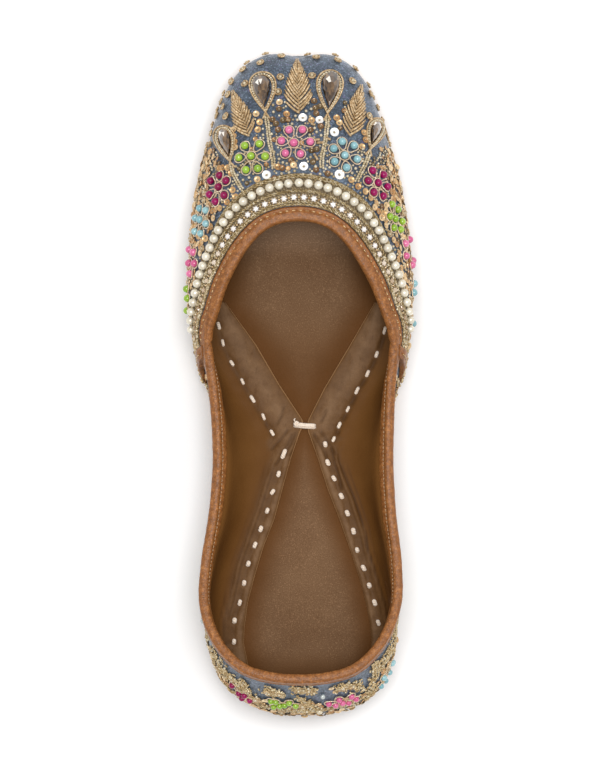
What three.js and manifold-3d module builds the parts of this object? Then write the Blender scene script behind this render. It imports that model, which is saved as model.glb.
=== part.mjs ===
// A mojari: a flat slip-on shoe with a beaded vamp, a low leather heel and a folded leather lining.
// Millimetres, +Z up, +Y towards the toe, +X to the right of somebody looking along +Y from above.
// The upper is a ring of profile curves. Each profile starts at the feather line, where the wall
// stands on the sole, and ends at the collar edge. Every layer of the upper (wall, vamp overlay,
// bindings) is an offset of that one surface, so they fit each other.
import * as THREE from "three";
import { mergeVertices } from "three/addons/utils/BufferGeometryUtils.js";
import Module from "manifold-3d";

const wasm = await Module();
wasm.setup();

// ---------- driving dimensions ----------
const GAP = 0.3; // clearance between neighbouring pieces
const LAY = 0.5; // clearance under pieces that lie on the curved wall
const WALL = 1.4; // leather wall of the upper with its lining
const OVERLAY = 0.8; // embroidered cloth and its backing over the vamp
const BIND = 0.7; // leather of the bindings
const BIND_LEG = 4.2; // how far a binding covers the wall each side of the edge
const WING_STRIP = 4.2; // width of the binding down the rear edge of each vamp wing
const OUTSOLE = 4.0; // outsole leather
const OUTSOLE_EDGE = 2.3; // outsole beyond the feather line
const INSOLE = 2.8; // padded insole at its edge
const INSOLE_CROWN = 0.7; // extra height along its middle
const FLAP = 0.9; // leather flaps that lie on the insole
const FLAP_RISE = 9; // how far a flap turns up the wall
const HEEL_RISE = 6.0; // underside of the outsole over the heel lift
const TOE_SPRING = 4.6; // lift of the toe tip
const HEEL_FRONT = -61; // breast of the heel lift
const RING = 84; // stations round the upper
const RISE = 9; // steps up each profile

// ---------- the last: one row for each section, right-hand side, toe to heel ----------
// fx, fy: feather line. cx, cy, cz: collar edge. out0, up0: how the wall leaves the sole (outwards, up).
// out1, dn1: how it reaches the collar (towards the feather line, down).
const SECTIONS = [
  { at: "toe tip",      fx: 0,    fy: 120.7,  cx: 0,    cy: 60.7,   cz: 41.0, out0: 3.4, up0: 12, out1: 36, dn1: 4 },
  { at: "toe",          fx: 13.2, fy: 119.8,  cx: 7.4,  cy: 59.7,   cz: 40.8, out0: 3.4, up0: 12, out1: 34, dn1: 4 },
  { at: "toe corner",   fx: 21.2, fy: 113.8,  cx: 13.6, cy: 56.5,   cz: 40.2, out0: 3.4, up0: 12, out1: 27, dn1: 4 },
  { at: "little toes",  fx: 26.2, fy: 103.2,  cx: 19.0, cy: 50.8,   cz: 39.3, out0: 3.4, up0: 12, out1: 19, dn1: 4 },
  { at: "vamp 1",       fx: 30.1, fy: 91.0,   cx: 23.6, cy: 43.6,   cz: 38.2, out0: 3.5, up0: 12, out1: 13, dn1: 4 },
  { at: "vamp 2",       fx: 33.6, fy: 77.5,   cx: 27.5, cy: 35.8,   cz: 37.0, out0: 3.7, up0: 12, out1: 9.5, dn1: 4 },
  { at: "vamp 3",       fx: 35.7, fy: 62.5,   cx: 30.4, cy: 27.6,   cz: 35.8, out0: 4.0, up0: 12, out1: 7.5, dn1: 4.2 },
  { at: "ball",         fx: 36.7, fy: 46.0,   cx: 33.2, cy: 19.0,   cz: 34.5, out0: 4.5, up0: 12, out1: 5.2, dn1: 5 },
  { at: "behind ball",  fx: 36.8, fy: 29.0,   cx: 33.3, cy: 9.5,    cz: 33.2, out0: 4.6, up0: 11, out1: 1.8, dn1: 7 },
  { at: "wing",         fx: 35.2, fy: 11.0,   cx: 32.4, cy: -1.5,   cz: 32.2, out0: 4.2, up0: 10, out1: -2.8, dn1: 9 },
  { at: "waist",        fx: 30.9, fy: -8.0,   cx: 31.7, cy: -15.0,  cz: 31.6, out0: 3.0, up0: 9.5, out1: -5.0, dn1: 8.5 },
  { at: "shank",        fx: 27.0, fy: -28.0,  cx: 31.4, cy: -31.0,  cz: 31.9, out0: 1.8, up0: 9, out1: -4.8, dn1: 8.5 },
  { at: "heel front",   fx: 26.4, fy: -48.0,  cx: 32.5, cy: -48.5,  cz: 33.9, out0: 1.4, up0: 9, out1: -3.8, dn1: 9.5 },
  { at: "heel 1",       fx: 28.2, fy: -66.0,  cx: 34.7, cy: -66.0,  cz: 37.2, out0: 2.4, up0: 10, out1: -1.8, dn1: 11 },
  { at: "heel side",    fx: 30.2, fy: -84.0,  cx: 34.8, cy: -81.2,  cz: 41.4, out0: 3.9, up0: 11, out1: 0, dn1: 12.5 },
  { at: "heel 2",       fx: 30.0, fy: -100.4, cx: 29.7, cy: -94.2,  cz: 45.9, out0: 5.0, up0: 12, out1: 1.8, dn1: 13 },
  { at: "heel corner",  fx: 24.6, fy: -112.8, cx: 20.8, cy: -103.2, cz: 49.6, out0: 5.7, up0: 13, out1: 2.8, dn1: 14 },
  { at: "heel 3",       fx: 13.4, fy: -119.2, cx: 10.6, cy: -106.6, cz: 51.3, out0: 6.0, up0: 14, out1: 3, dn1: 14 },
  { at: "heel back",    fx: 0,    fy: -120.6, cx: 0,    cy: -107.4, cz: 51.9, out0: 6.2, up0: 14, out1: 3, dn1: 14 },
];
// The shoe is straight, with a slight lean of its middle line: x shift by y, at the sole and at the collar.
const SWAY = [
  { y: 124, sole: -0.8, collar: -0.5 }, { y: 90, sole: -0.7, collar: -0.5 }, { y: 60, sole: -0.2, collar: -0.5 },
  { y: 45, sole: 0.0, collar: -0.8 }, { y: 28, sole: 0.2, collar: 0.0 }, { y: 5, sole: 0.9, collar: 0.4 },
  { y: -15, sole: 1.1, collar: 1.2 }, { y: -45, sole: 0.7, collar: 1.0 }, { y: -78, sole: -0.1, collar: 0.2 },
  { y: -98, sole: 0.9, collar: -0.4 }, { y: -112, sole: 2.0, collar: -0.1 }, { y: -124, sole: 2.0, collar: 0.0 },
];
// Inner edge of each lining flap, as half-gap from the shoe's middle, by y.
const FLAP_EDGE = [
  { y: 31, left: -28.6, right: 27.8 }, { y: -13.6, left: -0.6, right: 0.9 }, { y: -18.2, left: -0.9, right: 2.6 },
  { y: -33.7, left: -5.6, right: 9.0 }, { y: -50.5, left: -9.8, right: 14.2 }, { y: -63.0, left: -14.2, right: 18.6 },
  { y: -80, left: -19.4, right: 23.7 }, { y: -92, left: -21.3, right: 25.4 }, { y: -106, left: -20.6, right: 24.0 },
];
// The rear edge of each vamp wing runs from the collar down to the feather line: ring position by height share.
const WING_TOP = 7.75; // section position at the collar
const WING_FOOT = 10.15; // section position at the feather line

// ---------- interpolation ----------
const HALF = SECTIONS.length - 1; // 18 steps each side
const TURN = 2 * HALF;
const mirrored = (row) => ({ ...row, fx: -row.fx, cx: -row.cx });
const RINGROWS = [...SECTIONS, ...SECTIONS.slice(1, HALF).reverse().map(mirrored)];
const cubic = (a, b, c, d, t) =>
  0.5 * (2 * b + (c - a) * t + (2 * a - 5 * b + 4 * c - d) * t * t + (3 * b - a - 3 * c + d) * t * t * t);
// The section at ring position u: 0 toe, 18 heel back, 36 toe again, right-hand side first.
function section(u) {
  const w = ((u % TURN) + TURN) % TURN,
    i = Math.floor(w),
    t = w - i,
    row = (k) => RINGROWS[(i + k + TURN) % TURN],
    made = {};
  for (const key of ["fx", "fy", "cx", "cy", "cz", "out0", "up0", "out1", "dn1"])
    made[key] = cubic(row(-1)[key], row(0)[key], row(1)[key], row(2)[key], t);
  return made;
}
// Straight-line reading of a table sorted by falling y.
function read(table, y, key) {
  if (y >= table[0].y) return table[0][key];
  for (let i = 1; i < table.length; i++)
    if (y >= table[i].y) {
      const a = table[i - 1],
        b = table[i],
        t = (a.y - y) / (a.y - b.y);
      return a[key] + (b[key] - a[key]) * t;
    }
  return table[table.length - 1][key];
}
// The middle line's shift, smoothed so that the sides stay fair.
const fair = (y, key) => [-12, -6, 0, 6, 12].reduce((s, d) => s + read(SWAY, y + d, key), 0) / 5;
const sway = (y) => fair(y, "sole");
const smooth = (t) => {
  const s = Math.min(1, Math.max(0, t));
  return s * s * (3 - 2 * s);
};

// ---------- heights of the sole ----------
const springAt = (y) => TOE_SPRING * Math.pow(Math.min(1, Math.max(0, (y - 76) / 47)), 1.9);
const undersideAt = (y) => springAt(y) + HEEL_RISE * smooth((8 - y) / 58);
const soleTopAt = (y) => undersideAt(y) + OUTSOLE;
const featherZ = (y) => soleTopAt(y) + GAP;

// ---------- the upper's own surface ----------
const V3 = THREE.Vector3;
// Plan normal at u of the feather line (key "f") or the collar line (key "c"), pointing out of the shoe.
function planNormal(u, key) {
  const a = section(u - 0.05),
    b = section(u + 0.05);
  return new V3(a[key + "y"] - b[key + "y"], b[key + "x"] - a[key + "x"], 0).normalize();
}
function bezier(u, v) {
  const s = section(u),
    p0 = new V3(s.fx, s.fy, featherZ(s.fy)),
    p1 = p0.clone().addScaledVector(planNormal(u, "f"), s.out0).add(new V3(0, 0, s.up0)),
    p3 = new V3(s.cx, s.cy, s.cz),
    p2 = p3.clone().addScaledVector(planNormal(u, "c"), s.out1).add(new V3(0, 0, -s.dn1)),
    m = 1 - v;
  const p = new V3()
    .addScaledVector(p0, m * m * m)
    .addScaledVector(p1, 3 * m * m * v)
    .addScaledVector(p2, 3 * m * v * v)
    .addScaledVector(p3, v * v * v);
  p.x += fair(p.y, "sole") * m + fair(p.y, "collar") * v;
  return p;
}
const E = 0.01;
function frameAt(u, v) {
  const v0 = Math.max(0, v - E),
    v1 = Math.min(1, v + E);
  const du = bezier(u + 0.05, v).sub(bezier(u - 0.05, v)),
    dv = bezier(u, v1).sub(bezier(u, v0));
  const n = dv.clone().cross(du).normalize();
  return { p: bezier(u, v), n, along: du.length() / 0.1, up: dv.length() / (v1 - v0), rise: dv.normalize() };
}
// The wall's point at ring position u, profile share v, and distance t outwards from the lining.
const offsetAt = (u, v, t) => {
  const f = frameAt(u, v);
  return f.p.addScaledVector(f.n, t);
};
// The same, with its foot cut level with the sole.
const wallAt = (u, v, t) => {
  const q = offsetAt(u, v, t);
  q.z = Math.max(q.z, featherZ(q.y));
  return q;
};
// The profile share that lies d millimetres below the collar edge.
const reach = new Map();
function belowCollar(u, d) {
  const key = u.toFixed(4);
  if (!reach.has(key)) {
    const list = [{ v: 1, d: 0 }];
    let last = bezier(u, 1);
    for (let i = 1; i <= 60; i++) {
      const v = 1 - i / 60,
        p = bezier(u, v);
      list.push({ v, d: list[i - 1].d + p.distanceTo(last) });
      last = p;
    }
    reach.set(key, list);
  }
  const list = reach.get(key);
  for (let i = 1; i < list.length; i++)
    if (d <= list[i].d) {
      const t = (d - list[i - 1].d) / (list[i].d - list[i - 1].d);
      return list[i - 1].v + (list[i].v - list[i - 1].v) * t;
    }
  return 0;
}
// A point d millimetres below the collar (above it when negative) and t out from the lining.
function edgePoint(u, d, t) {
  if (d >= 0) return wallAt(u, belowCollar(u, d), t);
  const f = frameAt(u, 1);
  return f.p.addScaledVector(f.rise, -d).addScaledVector(f.n, t);
}
const wingEdge = (v) => WING_FOOT + (WING_TOP - WING_FOOT) * Math.pow(Math.max(0, v), 0.9);

// ---------- closed solids from grids of points ----------
function toSolid(points, faces) {
  const g = new THREE.BufferGeometry();
  g.setAttribute("position", new THREE.Float32BufferAttribute(points.flatMap((p) => [p.x, p.y, p.z]), 3));
  g.setIndex(faces.flat());
  const m = mergeVertices(g, 1e-3);
  const solid = new wasm.Manifold(
    new wasm.Mesh({ numProp: 3, vertProperties: m.attributes.position.array, triVerts: new Uint32Array(m.index.array) }),
  );
  if (solid.volume() >= 0) return solid;
  return toSolid(points, faces.map(([a, b, c]) => [a, c, b]));
}
// A sheet between two grids of the same size: front[i][j] and back[i][j]. Closed in i when loop is true.
function sheetSolid(front, back, loop) {
  const ni = front.length,
    nj = front[0].length,
    points = [...front.flat(), ...back.flat()],
    faces = [],
    F = (i, j) => (i % ni) * nj + j,
    B = (i, j) => ni * nj + (i % ni) * nj + j,
    quad = (a, b, c, d) => faces.push([a, b, c], [a, c, d]);
  const last = loop ? ni : ni - 1;
  for (let i = 0; i < last; i++) {
    for (let j = 0; j < nj - 1; j++) {
      quad(F(i, j), F(i, j + 1), F(i + 1, j + 1), F(i + 1, j));
      quad(B(i, j), B(i + 1, j), B(i + 1, j + 1), B(i, j + 1));
    }
    quad(F(i, 0), F(i + 1, 0), B(i + 1, 0), B(i, 0));
    quad(F(i, nj - 1), B(i, nj - 1), B(i + 1, nj - 1), F(i + 1, nj - 1));
  }
  if (!loop)
    for (let j = 0; j < nj - 1; j++) {
      quad(F(0, j), B(0, j), B(0, j + 1), F(0, j + 1));
      quad(F(ni - 1, j), F(ni - 1, j + 1), B(ni - 1, j + 1), B(ni - 1, j));
    }
  return toSolid(points, faces);
}
// A plate over a ring outline: rings shrink towards a spine, with heights from two functions.
function plateSolid(ring, spine, shares, zTop, zBottom) {
  const at = (p, k) => new V3(spine(p).x + (p.x - spine(p).x) * k, spine(p).y + (p.y - spine(p).y) * k, 0);
  const n = ring.length,
    points = [],
    faces = [],
    idx = (side, r, i) => (side * shares.length + r) * n + (i % n);
  for (const z of [zTop, zBottom])
    for (const k of shares)
      for (const p of ring) {
        const q = at(p, k);
        points.push(new V3(q.x, q.y, z(q.x, q.y, k)));
      }
  for (let side = 0; side < 2; side++)
    for (let r = 0; r < shares.length - 1; r++)
      for (let i = 0; i < n; i++) {
        const a = idx(side, r, i),
          b = idx(side, r, i + 1),
          c = idx(side, r + 1, i + 1),
          d = idx(side, r + 1, i);
        if (side) faces.push([a, c, b], [a, d, c]);
        else faces.push([a, b, c], [a, c, d]);
      }
  for (let i = 0; i < n; i++) {
    const a = idx(0, 0, i),
      b = idx(0, 0, i + 1),
      c = idx(1, 0, i + 1),
      d = idx(1, 0, i);
    faces.push([a, c, b], [a, d, c]);
  }
  // The innermost ring is a narrow strip along the spine, filled rung by rung from side to side.
  const r = shares.length - 1;
  for (let side = 0; side < 2; side++)
    for (let i = 0; i < n / 2; i++) {
      const rung = [i, i + 1, n - i - 1, (n - i) % n].map((k) => idx(side, r, k)),
        tris = [[rung[0], rung[1], rung[2]], [rung[0], rung[2], rung[3]]];
      for (const [p, q, w] of tris)
        if (p !== q && q !== w && w !== p) faces.push(side ? [p, w, q] : [p, q, w]);
    }
  return toSolid(points, faces);
}

// ---------- pieces ----------
const ringU = Array.from({ length: RING }, (_, i) => (i * TURN) / RING);
const shares = (n, a = 0, b = 1) => Array.from({ length: n + 1 }, (_, i) => a + ((b - a) * i) / n);
// Profile steps are closer together at the sole, where the wall turns fastest.
const PROFILE = shares(RISE).map((v) => v - 0.045 * Math.sin(2 * Math.PI * v));

// The wall's own stations between two ring positions, with both ends.
function stations(from, to) {
  const step = TURN / RING,
    inside = [];
  for (let k = Math.ceil(from / step + 0.15); k * step < to - 0.15 * step; k++) inside.push(k * step);
  return [from, ...inside, to];
}
function makeUpper() {
  const grid = (t) => ringU.map((u) => PROFILE.map((v) => wallAt(u, v, t)));
  return sheetSolid(grid(WALL), grid(0), true);
}

// The vamp overlay is the space between two larger forms of the wall, trimmed clear of the bindings.
function makeVampOverlay() {
  const reachU = Math.ceil((WING_FOOT * RING) / TURN),
    us = Array.from({ length: 2 * reachU + 1 }, (_, i) => ((i - reachU) * TURN) / RING),
    grid = (t) => us.map((u) => PROFILE.map((v) => wallAt(u, v, t)));
  let made = sheetSolid(grid(WALL + GAP + OVERLAY), grid(WALL + GAP), false).subtract(edgeBand(11.6, BIND_LEG + LAY));
  for (const side of [1, -1]) made = made.subtract(behindWing(side, WING_STRIP + LAY));
  return made.decompose().sort((p, q) => q.volume() - p.volume())[0];
}
// The space behind the rear edge of a vamp wing, from a line that far in front of the edge.
function behindWing(side, front) {
  const grid = (t) =>
    shares(12, -0.06, 1.05).map((v) => {
      const from = wingEdge(v) - front / frameAt(wingEdge(v), v).along;
      return shares(5, from, 11.6).map((u) => offsetAt(side * u, v, t));
    });
  return sheetSolid(grid(WALL + 3), grid(WALL - 0.2), false);
}
// The band of space beside the collar edge, wide enough to trim a layer that lies on the wall.
function edgeBand(uEnd, depth) {
  const grid = (t) => stations(-uEnd, uEnd).map((u) => shares(3, -1.5, depth).map((d) => edgePoint(u, d, t)));
  return sheetSolid(grid(WALL + 4), grid(WALL - 0.2), false);
}

// A folded strip over the collar edge between two ring positions.
function foldedStrip(uFrom, uTo) {
  const low = -GAP,
    high = WALL + GAP,
    mid = WALL / 2,
    half = (high - low) / 2;
  const arc = (grow) =>
    [0, 1, 2, 3].map((i) => {
      const a = (Math.PI * i) / 3;
      return { d: -Math.sin(a) * (GAP + grow * 1.1), t: mid + Math.cos(a) * (half + grow) };
    });
  const leg = (t) => [BIND_LEG].map((d) => ({ d, t }));
  const outside = [...leg(high + BIND), ...arc(BIND), ...leg(low - BIND).reverse()],
    inside = [...leg(high), ...arc(0), ...leg(low).reverse()];
  const place = (list, u) => list.map((q) => edgePoint(u, q.d, q.t));
  const us = stations(uFrom, uTo);
  return sheetSolid(us.map((u) => place(outside, u)), us.map((u) => place(inside, u)), false);
}
// The flat strip down the rear edge of a vamp wing; side is 1 for the right.
function wingStrip(side, from, to, low, high, vLow, vHigh) {
  const grid = (t) =>
    shares(12, vLow, vHigh).map((v) => {
      const edge = wingEdge(v),
        k = 1 / frameAt(edge, v).along;
      return shares(3, from, to).map((w) => (vLow < 0 ? offsetAt : wallAt)(side * (edge - w * k), v, t));
    });
  return sheetSolid(grid(high), grid(low), false);
}
function makeVampBinding() {
  let made = foldedStrip(-WING_TOP, WING_TOP);
  for (const side of [1, -1])
    made = made.add(wingStrip(side, 0, WING_STRIP, WALL + GAP, WALL + GAP + BIND + 0.05, 0.03, 0.995));
  return made;
}
function makeQuarterBinding() {
  let made = foldedStrip(WING_TOP + 0.12, TURN - WING_TOP - 0.12);
  for (const side of [1, -1])
    made = made.subtract(wingStrip(side, -GAP - 0.15, WING_STRIP + 2, WALL - 0.1, WALL + 3, 0.4, 1));
  // What is left on the vamp's side of the cut is dropped.
  return made.decompose().sort((a, b) => b.volume() - a.volume())[0];
}

// The outlines that follow the feather line, d millimetres outside it.
function outline(d, n = 64) {
  return Array.from({ length: n }, (_, i) => {
    const u = (i * TURN) / n,
      s = section(u),
      p = new V3(s.fx, s.fy, 0).addScaledVector(planNormal(u, "f"), d);
    p.x += sway(p.y);
    return p;
  });
}
const spine = (p) => new V3(sway(p.y), Math.min(92, Math.max(-94, p.y)), 0);
function makeOutsole() {
  return plateSolid(
    outline(OUTSOLE_EDGE, 60),
    spine,
    [1, 0.96, 0.6, 0.2],
    (x, y) => soleTopAt(y),
    (x, y, k) => undersideAt(y) + (k === 1 ? 0.7 : 0),
  );
}
function makeInsole() {
  return plateSolid(
    outline(-0.5, 52),
    spine,
    [1, 0.94, 0.6, 0.2],
    (x, y, k) => soleTopAt(y) + GAP + INSOLE - (k === 1 ? 0.9 : 0) + INSOLE_CROWN * (1 - k),
    (x, y) => soleTopAt(y) + GAP,
  );
}
function makeHeelLift() {
  const back = outline(OUTSOLE_EDGE - 0.3, 96).filter((p) => p.y < HEEL_FRONT);
  back.sort((a, b) => Math.atan2(a.y + 85, a.x) - Math.atan2(b.y + 85, b.x));
  // Left breast corner, round the back, right breast corner, then a shallow curve along the breast.
  const left = back.filter((p) => p.x < 0).sort((a, b) => b.y - a.y),
    right = back.filter((p) => p.x >= 0).sort((a, b) => a.y - b.y),
    shape = new THREE.Shape();
  const path = [...left, ...right].map((p) => new THREE.Vector2(p.x, p.y));
  shape.moveTo(path[0].x, path[0].y);
  path.slice(1).forEach((p) => shape.lineTo(p.x, p.y));
  const a = path[path.length - 1],
    b = path[0];
  shape.quadraticCurveTo((a.x + b.x) / 2, (a.y + b.y) / 2 - 9, b.x, b.y);
  const g = new THREE.ExtrudeGeometry(shape, { depth: HEEL_RISE - GAP, bevelEnabled: false, curveSegments: 10 });
  g.deleteAttribute("normal");
  g.deleteAttribute("uv");
  const m = mergeVertices(g, 1e-3);
  let solid = new wasm.Manifold(
    new wasm.Mesh({ numProp: 3, vertProperties: m.attributes.position.array, triVerts: new Uint32Array(m.index ? m.index.array : Array.from({ length: m.attributes.position.count }, (_, i) => i)) }),
  );
  return solid;
}

// Height of the insole's top, as the flaps meet it.
function insoleTop(x, y) {
  const half = Math.max(12, halfWidthAt(y)),
    k = Math.min(1, Math.abs(x - sway(y)) / half);
  return soleTopAt(y) + GAP + INSOLE + INSOLE_CROWN * (1 - k);
}
// Half-width of the feather line at height y, measured on the right-hand rows.
const WIDTHS = Array.from({ length: 361 }, (_, i) => section((i * HALF) / 360));
function halfWidthAt(y) {
  for (let i = 1; i < WIDTHS.length; i++)
    if (WIDTHS[i].fy <= y) {
      const a = WIDTHS[i - 1],
        b = WIDTHS[i],
        t = (a.fy - y) / (a.fy - b.fy || 1);
      return a.fx + (b.fx - a.fx) * t;
    }
  return 0;
}
// One flap: from its inner edge across the insole and up the wall. side is 1 for the right.
function makeFlap(side) {
  const key = side > 0 ? "right" : "left",
    ys = shares(20, 30, -101),
    grid = (t) =>
      ys.map((y) => {
        const wall = side * (halfWidthAt(y) - 2.6) + sway(y),
          edge = read(FLAP_EDGE, y, key),
          flat = [0, 0.12, 0.4, 0.7, 1].map((k) => {
            const x = edge + (wall - edge) * k;
            return new V3(x, y, insoleTop(x, y) + GAP + 0.05 + t);
          });
        const end = flat[flat.length - 1],
          up = [0.35, 0.7, 1].map((k) => {
            const a = (k * Math.PI) / 2.6;
            return new V3(end.x + side * (Math.sin(a) * 1.5 - t * Math.sin(a)), y, end.z - t + (1 - Math.cos(a)) * FLAP_RISE * 0.62 + t * Math.cos(a));
          });
        return [...flat, ...up];
      });
  return sheetSolid(grid(FLAP), grid(0), false);
}

// ---------- assembly ----------
function geometryOf(solid) {
  const m = solid.getMesh(),
    g = new THREE.BufferGeometry();
  g.setAttribute("position", new THREE.BufferAttribute(new Float32Array(m.vertProperties), 3));
  g.setIndex(new THREE.BufferAttribute(new Uint32Array(m.triVerts), 1));
  g.computeVertexNormals();
  return g;
}
const leather = (color, roughness) => new THREE.MeshStandardMaterial({ color, roughness, metalness: 0 });
const PIECES = [
  ["outsole", makeOutsole(), leather(0xb98a5c, 0.7)],
  ["heel_lift", makeHeelLift(), leather(0x5a3b22, 0.75)],
  ["insole", makeInsole(), leather(0x74513a, 0.45)],
  ["upper", makeUpper(), leather(0x6b4626, 0.6)],
  ["vamp_overlay", makeVampOverlay(), new THREE.MeshStandardMaterial({ color: 0x4f5f74, roughness: 0.45, metalness: 0.2 })],
  ["vamp_binding", makeVampBinding(), leather(0xb0713f, 0.5)],
  ["quarter_binding", makeQuarterBinding(), leather(0xb0713f, 0.5)],
  ["flap_left", makeFlap(-1), leather(0x7a5638, 0.5)],
  ["flap_right", makeFlap(1), leather(0x7a5638, 0.5)],
];
const shoe = new THREE.Group();
const model = new THREE.Group();
for (const [name, solid, material] of PIECES) {
  const mesh = new THREE.Mesh(geometryOf(solid), material);
  mesh.name = name;
  model.add(mesh);
}
// The origin is on the ground, under the middle of the shoe's length and breadth.
const box = new THREE.Box3().setFromObject(model);
model.position.set(-(box.min.x + box.max.x) / 2, -(box.min.y + box.max.y) / 2, -box.min.z);
shoe.add(model);
export default shoe;
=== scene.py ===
import math

import bpy
import numpy as np
from mathutils import Matrix, Vector
from mathutils.kdtree import KDTree


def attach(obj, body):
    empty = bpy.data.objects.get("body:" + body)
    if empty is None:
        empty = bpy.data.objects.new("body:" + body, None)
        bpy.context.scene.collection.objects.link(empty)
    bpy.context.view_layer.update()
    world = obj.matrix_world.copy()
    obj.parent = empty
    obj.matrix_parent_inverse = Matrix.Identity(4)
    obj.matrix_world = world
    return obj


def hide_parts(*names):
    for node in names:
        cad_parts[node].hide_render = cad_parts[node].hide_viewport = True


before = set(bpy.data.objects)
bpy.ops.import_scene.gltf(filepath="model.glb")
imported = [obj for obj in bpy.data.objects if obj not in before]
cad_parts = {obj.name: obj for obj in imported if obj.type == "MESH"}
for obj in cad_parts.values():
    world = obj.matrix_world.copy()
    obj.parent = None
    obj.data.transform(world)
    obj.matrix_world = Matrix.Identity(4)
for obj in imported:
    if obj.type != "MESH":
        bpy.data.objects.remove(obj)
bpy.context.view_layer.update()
rng = np.random.default_rng(41)

# ---------------------------------------------------------------- the last, as in the part
GAP, WALL, OVERLAY, BIND = 0.3, 1.4, 0.8, 0.7
CLOTH = WALL + GAP + OVERLAY  # outer face of the vamp's cloth, from the lining
SHIFT = np.array([0.0223, -0.02235, 0.0])
# fx, fy, cx, cy, cz, out0, up0, out1, dn1
SECTIONS = np.array([
    [0, 120.7, 0, 60.7, 41.0, 3.4, 12, 36, 4], [13.2, 119.8, 7.4, 59.7, 40.8, 3.4, 12, 34, 4],
    [21.2, 113.8, 13.6, 56.5, 40.2, 3.4, 12, 27, 4], [26.2, 103.2, 19.0, 50.8, 39.3, 3.4, 12, 19, 4],
    [30.1, 91.0, 23.6, 43.6, 38.2, 3.5, 12, 13, 4], [33.6, 77.5, 27.5, 35.8, 37.0, 3.7, 12, 9.5, 4],
    [35.7, 62.5, 30.4, 27.6, 35.8, 4.0, 12, 7.5, 4.2], [36.7, 46.0, 33.2, 19.0, 34.5, 4.5, 12, 5.2, 5],
    [36.8, 29.0, 33.3, 9.5, 33.2, 4.6, 11, 1.8, 7], [35.2, 11.0, 32.4, -1.5, 32.2, 4.2, 10, -2.8, 9],
    [30.9, -8.0, 31.7, -15.0, 31.6, 3.0, 9.5, -5.0, 8.5], [27.0, -28.0, 31.4, -31.0, 31.9, 1.8, 9, -4.8, 8.5],
    [26.4, -48.0, 32.5, -48.5, 33.9, 1.4, 9, -3.8, 9.5], [28.2, -66.0, 34.7, -66.0, 37.2, 2.4, 10, -1.8, 11],
    [30.2, -84.0, 34.8, -81.2, 41.4, 3.9, 11, 0, 12.5], [30.0, -100.4, 29.7, -94.2, 45.9, 5.0, 12, 1.8, 13],
    [24.6, -112.8, 20.8, -103.2, 49.6, 5.7, 13, 2.8, 14], [13.4, -119.2, 10.6, -106.6, 51.3, 6.0, 14, 3, 14],
    [0, -120.6, 0, -107.4, 51.9, 6.2, 14, 3, 14]])
HALF = len(SECTIONS) - 1
TURN = 2 * HALF
_back = SECTIONS[1:-1][::-1].copy()
_back[:, 0] *= -1
_back[:, 2] *= -1
RING = np.concatenate([SECTIONS, _back])
SWAY = np.array([
    [-124, 2.0, 0.0], [-112, 2.0, -0.1], [-98, 0.9, -0.4], [-78, -0.1, 0.2], [-45, 0.7, 1.0], [-15, 1.1, 1.2],
    [5, 0.9, 0.4], [28, 0.2, 0.0], [45, 0.0, -0.8], [60, -0.2, -0.5], [90, -0.7, -0.5], [124, -0.8, -0.5]])
WING_TOP, WING_FOOT = 7.75, 10.15


def smooth(t):
    s = np.clip(t, 0, 1)
    return s * s * (3 - 2 * s)


def fair(y, k):
    return sum(np.interp(y + d, SWAY[:, 0], SWAY[:, k]) for d in (-12, -6, 0, 6, 12)) / 5


def underside(y):
    return 4.6 * np.clip((y - 76) / 47, 0, 1) ** 1.9 + 6.0 * smooth((8 - y) / 58)


def sole_top(y):
    return underside(y) + 4.0


def feather_z(y):
    return sole_top(y) + GAP


def section(u):
    w = np.mod(u, TURN)
    i = np.floor(w).astype(int)
    t = (w - i)[:, None]
    a, b, c, d = RING[(i - 1) % TURN], RING[i % TURN], RING[(i + 1) % TURN], RING[(i + 2) % TURN]
    return 0.5 * (2 * b + (c - a) * t + (2 * a - 5 * b + 4 * c - d) * t * t + (3 * b - a - 3 * c + d) * t ** 3)


def plan_normal(u, k):
    a, b = section(u - 0.05), section(u + 0.05)
    n = np.stack([a[:, k + 1] - b[:, k + 1], b[:, k] - a[:, k]], -1)
    return n / np.linalg.norm(n, axis=1, keepdims=True)


def bez(u, v):
    u, v = np.broadcast_arrays(np.asarray(u, float), np.asarray(v, float))
    shape = u.shape
    u, v = u.ravel(), v.ravel()
    s = section(u)
    nf, nc = plan_normal(u, 0), plan_normal(u, 2)
    p0 = np.stack([s[:, 0], s[:, 1], feather_z(s[:, 1])], -1)
    p1 = p0 + np.stack([nf[:, 0] * s[:, 5], nf[:, 1] * s[:, 5], s[:, 6]], -1)
    p3 = s[:, 2:5]
    p2 = p3 + np.stack([nc[:, 0] * s[:, 7], nc[:, 1] * s[:, 7], -s[:, 8]], -1)
    m, w = (1 - v)[:, None], v[:, None]
    p = p0 * m ** 3 + p1 * 3 * m * m * w + p2 * 3 * m * w * w + p3 * w ** 3
    p[:, 0] += fair(p[:, 1], 1) * (1 - v) + fair(p[:, 1], 2) * v
    # the cloth is drawn in a little at the very tip, between two low corners
    x = p[:, 0] + 0.2
    tip = 0.45 * np.exp(-((np.abs(x) - 10) / 4.5) ** 2) - 1.05 * np.exp(-(x / 4.0) ** 2)
    p[:, 1] += tip * smooth((v - 0.004) / 0.04) * (1 - smooth((v - 0.35) / 0.25)) * smooth((p[:, 1] - 98) / 12)
    return p.reshape(shape + (3,))


def frames(u, v):
    """Point, outward normal and rise of the lining's surface."""
    u, v = np.broadcast_arrays(np.asarray(u, float), np.asarray(v, float))
    v0, v1 = np.maximum(0, v - 0.01), np.minimum(1, v + 0.01)
    du = bez(u + 0.05, v) - bez(u - 0.05, v)
    dv = bez(u, v1) - bez(u, v0)
    n = np.cross(dv, du)
    n /= np.linalg.norm(n, axis=-1, keepdims=True)
    return bez(u, v), n, dv / np.linalg.norm(dv, axis=-1, keepdims=True)


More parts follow.
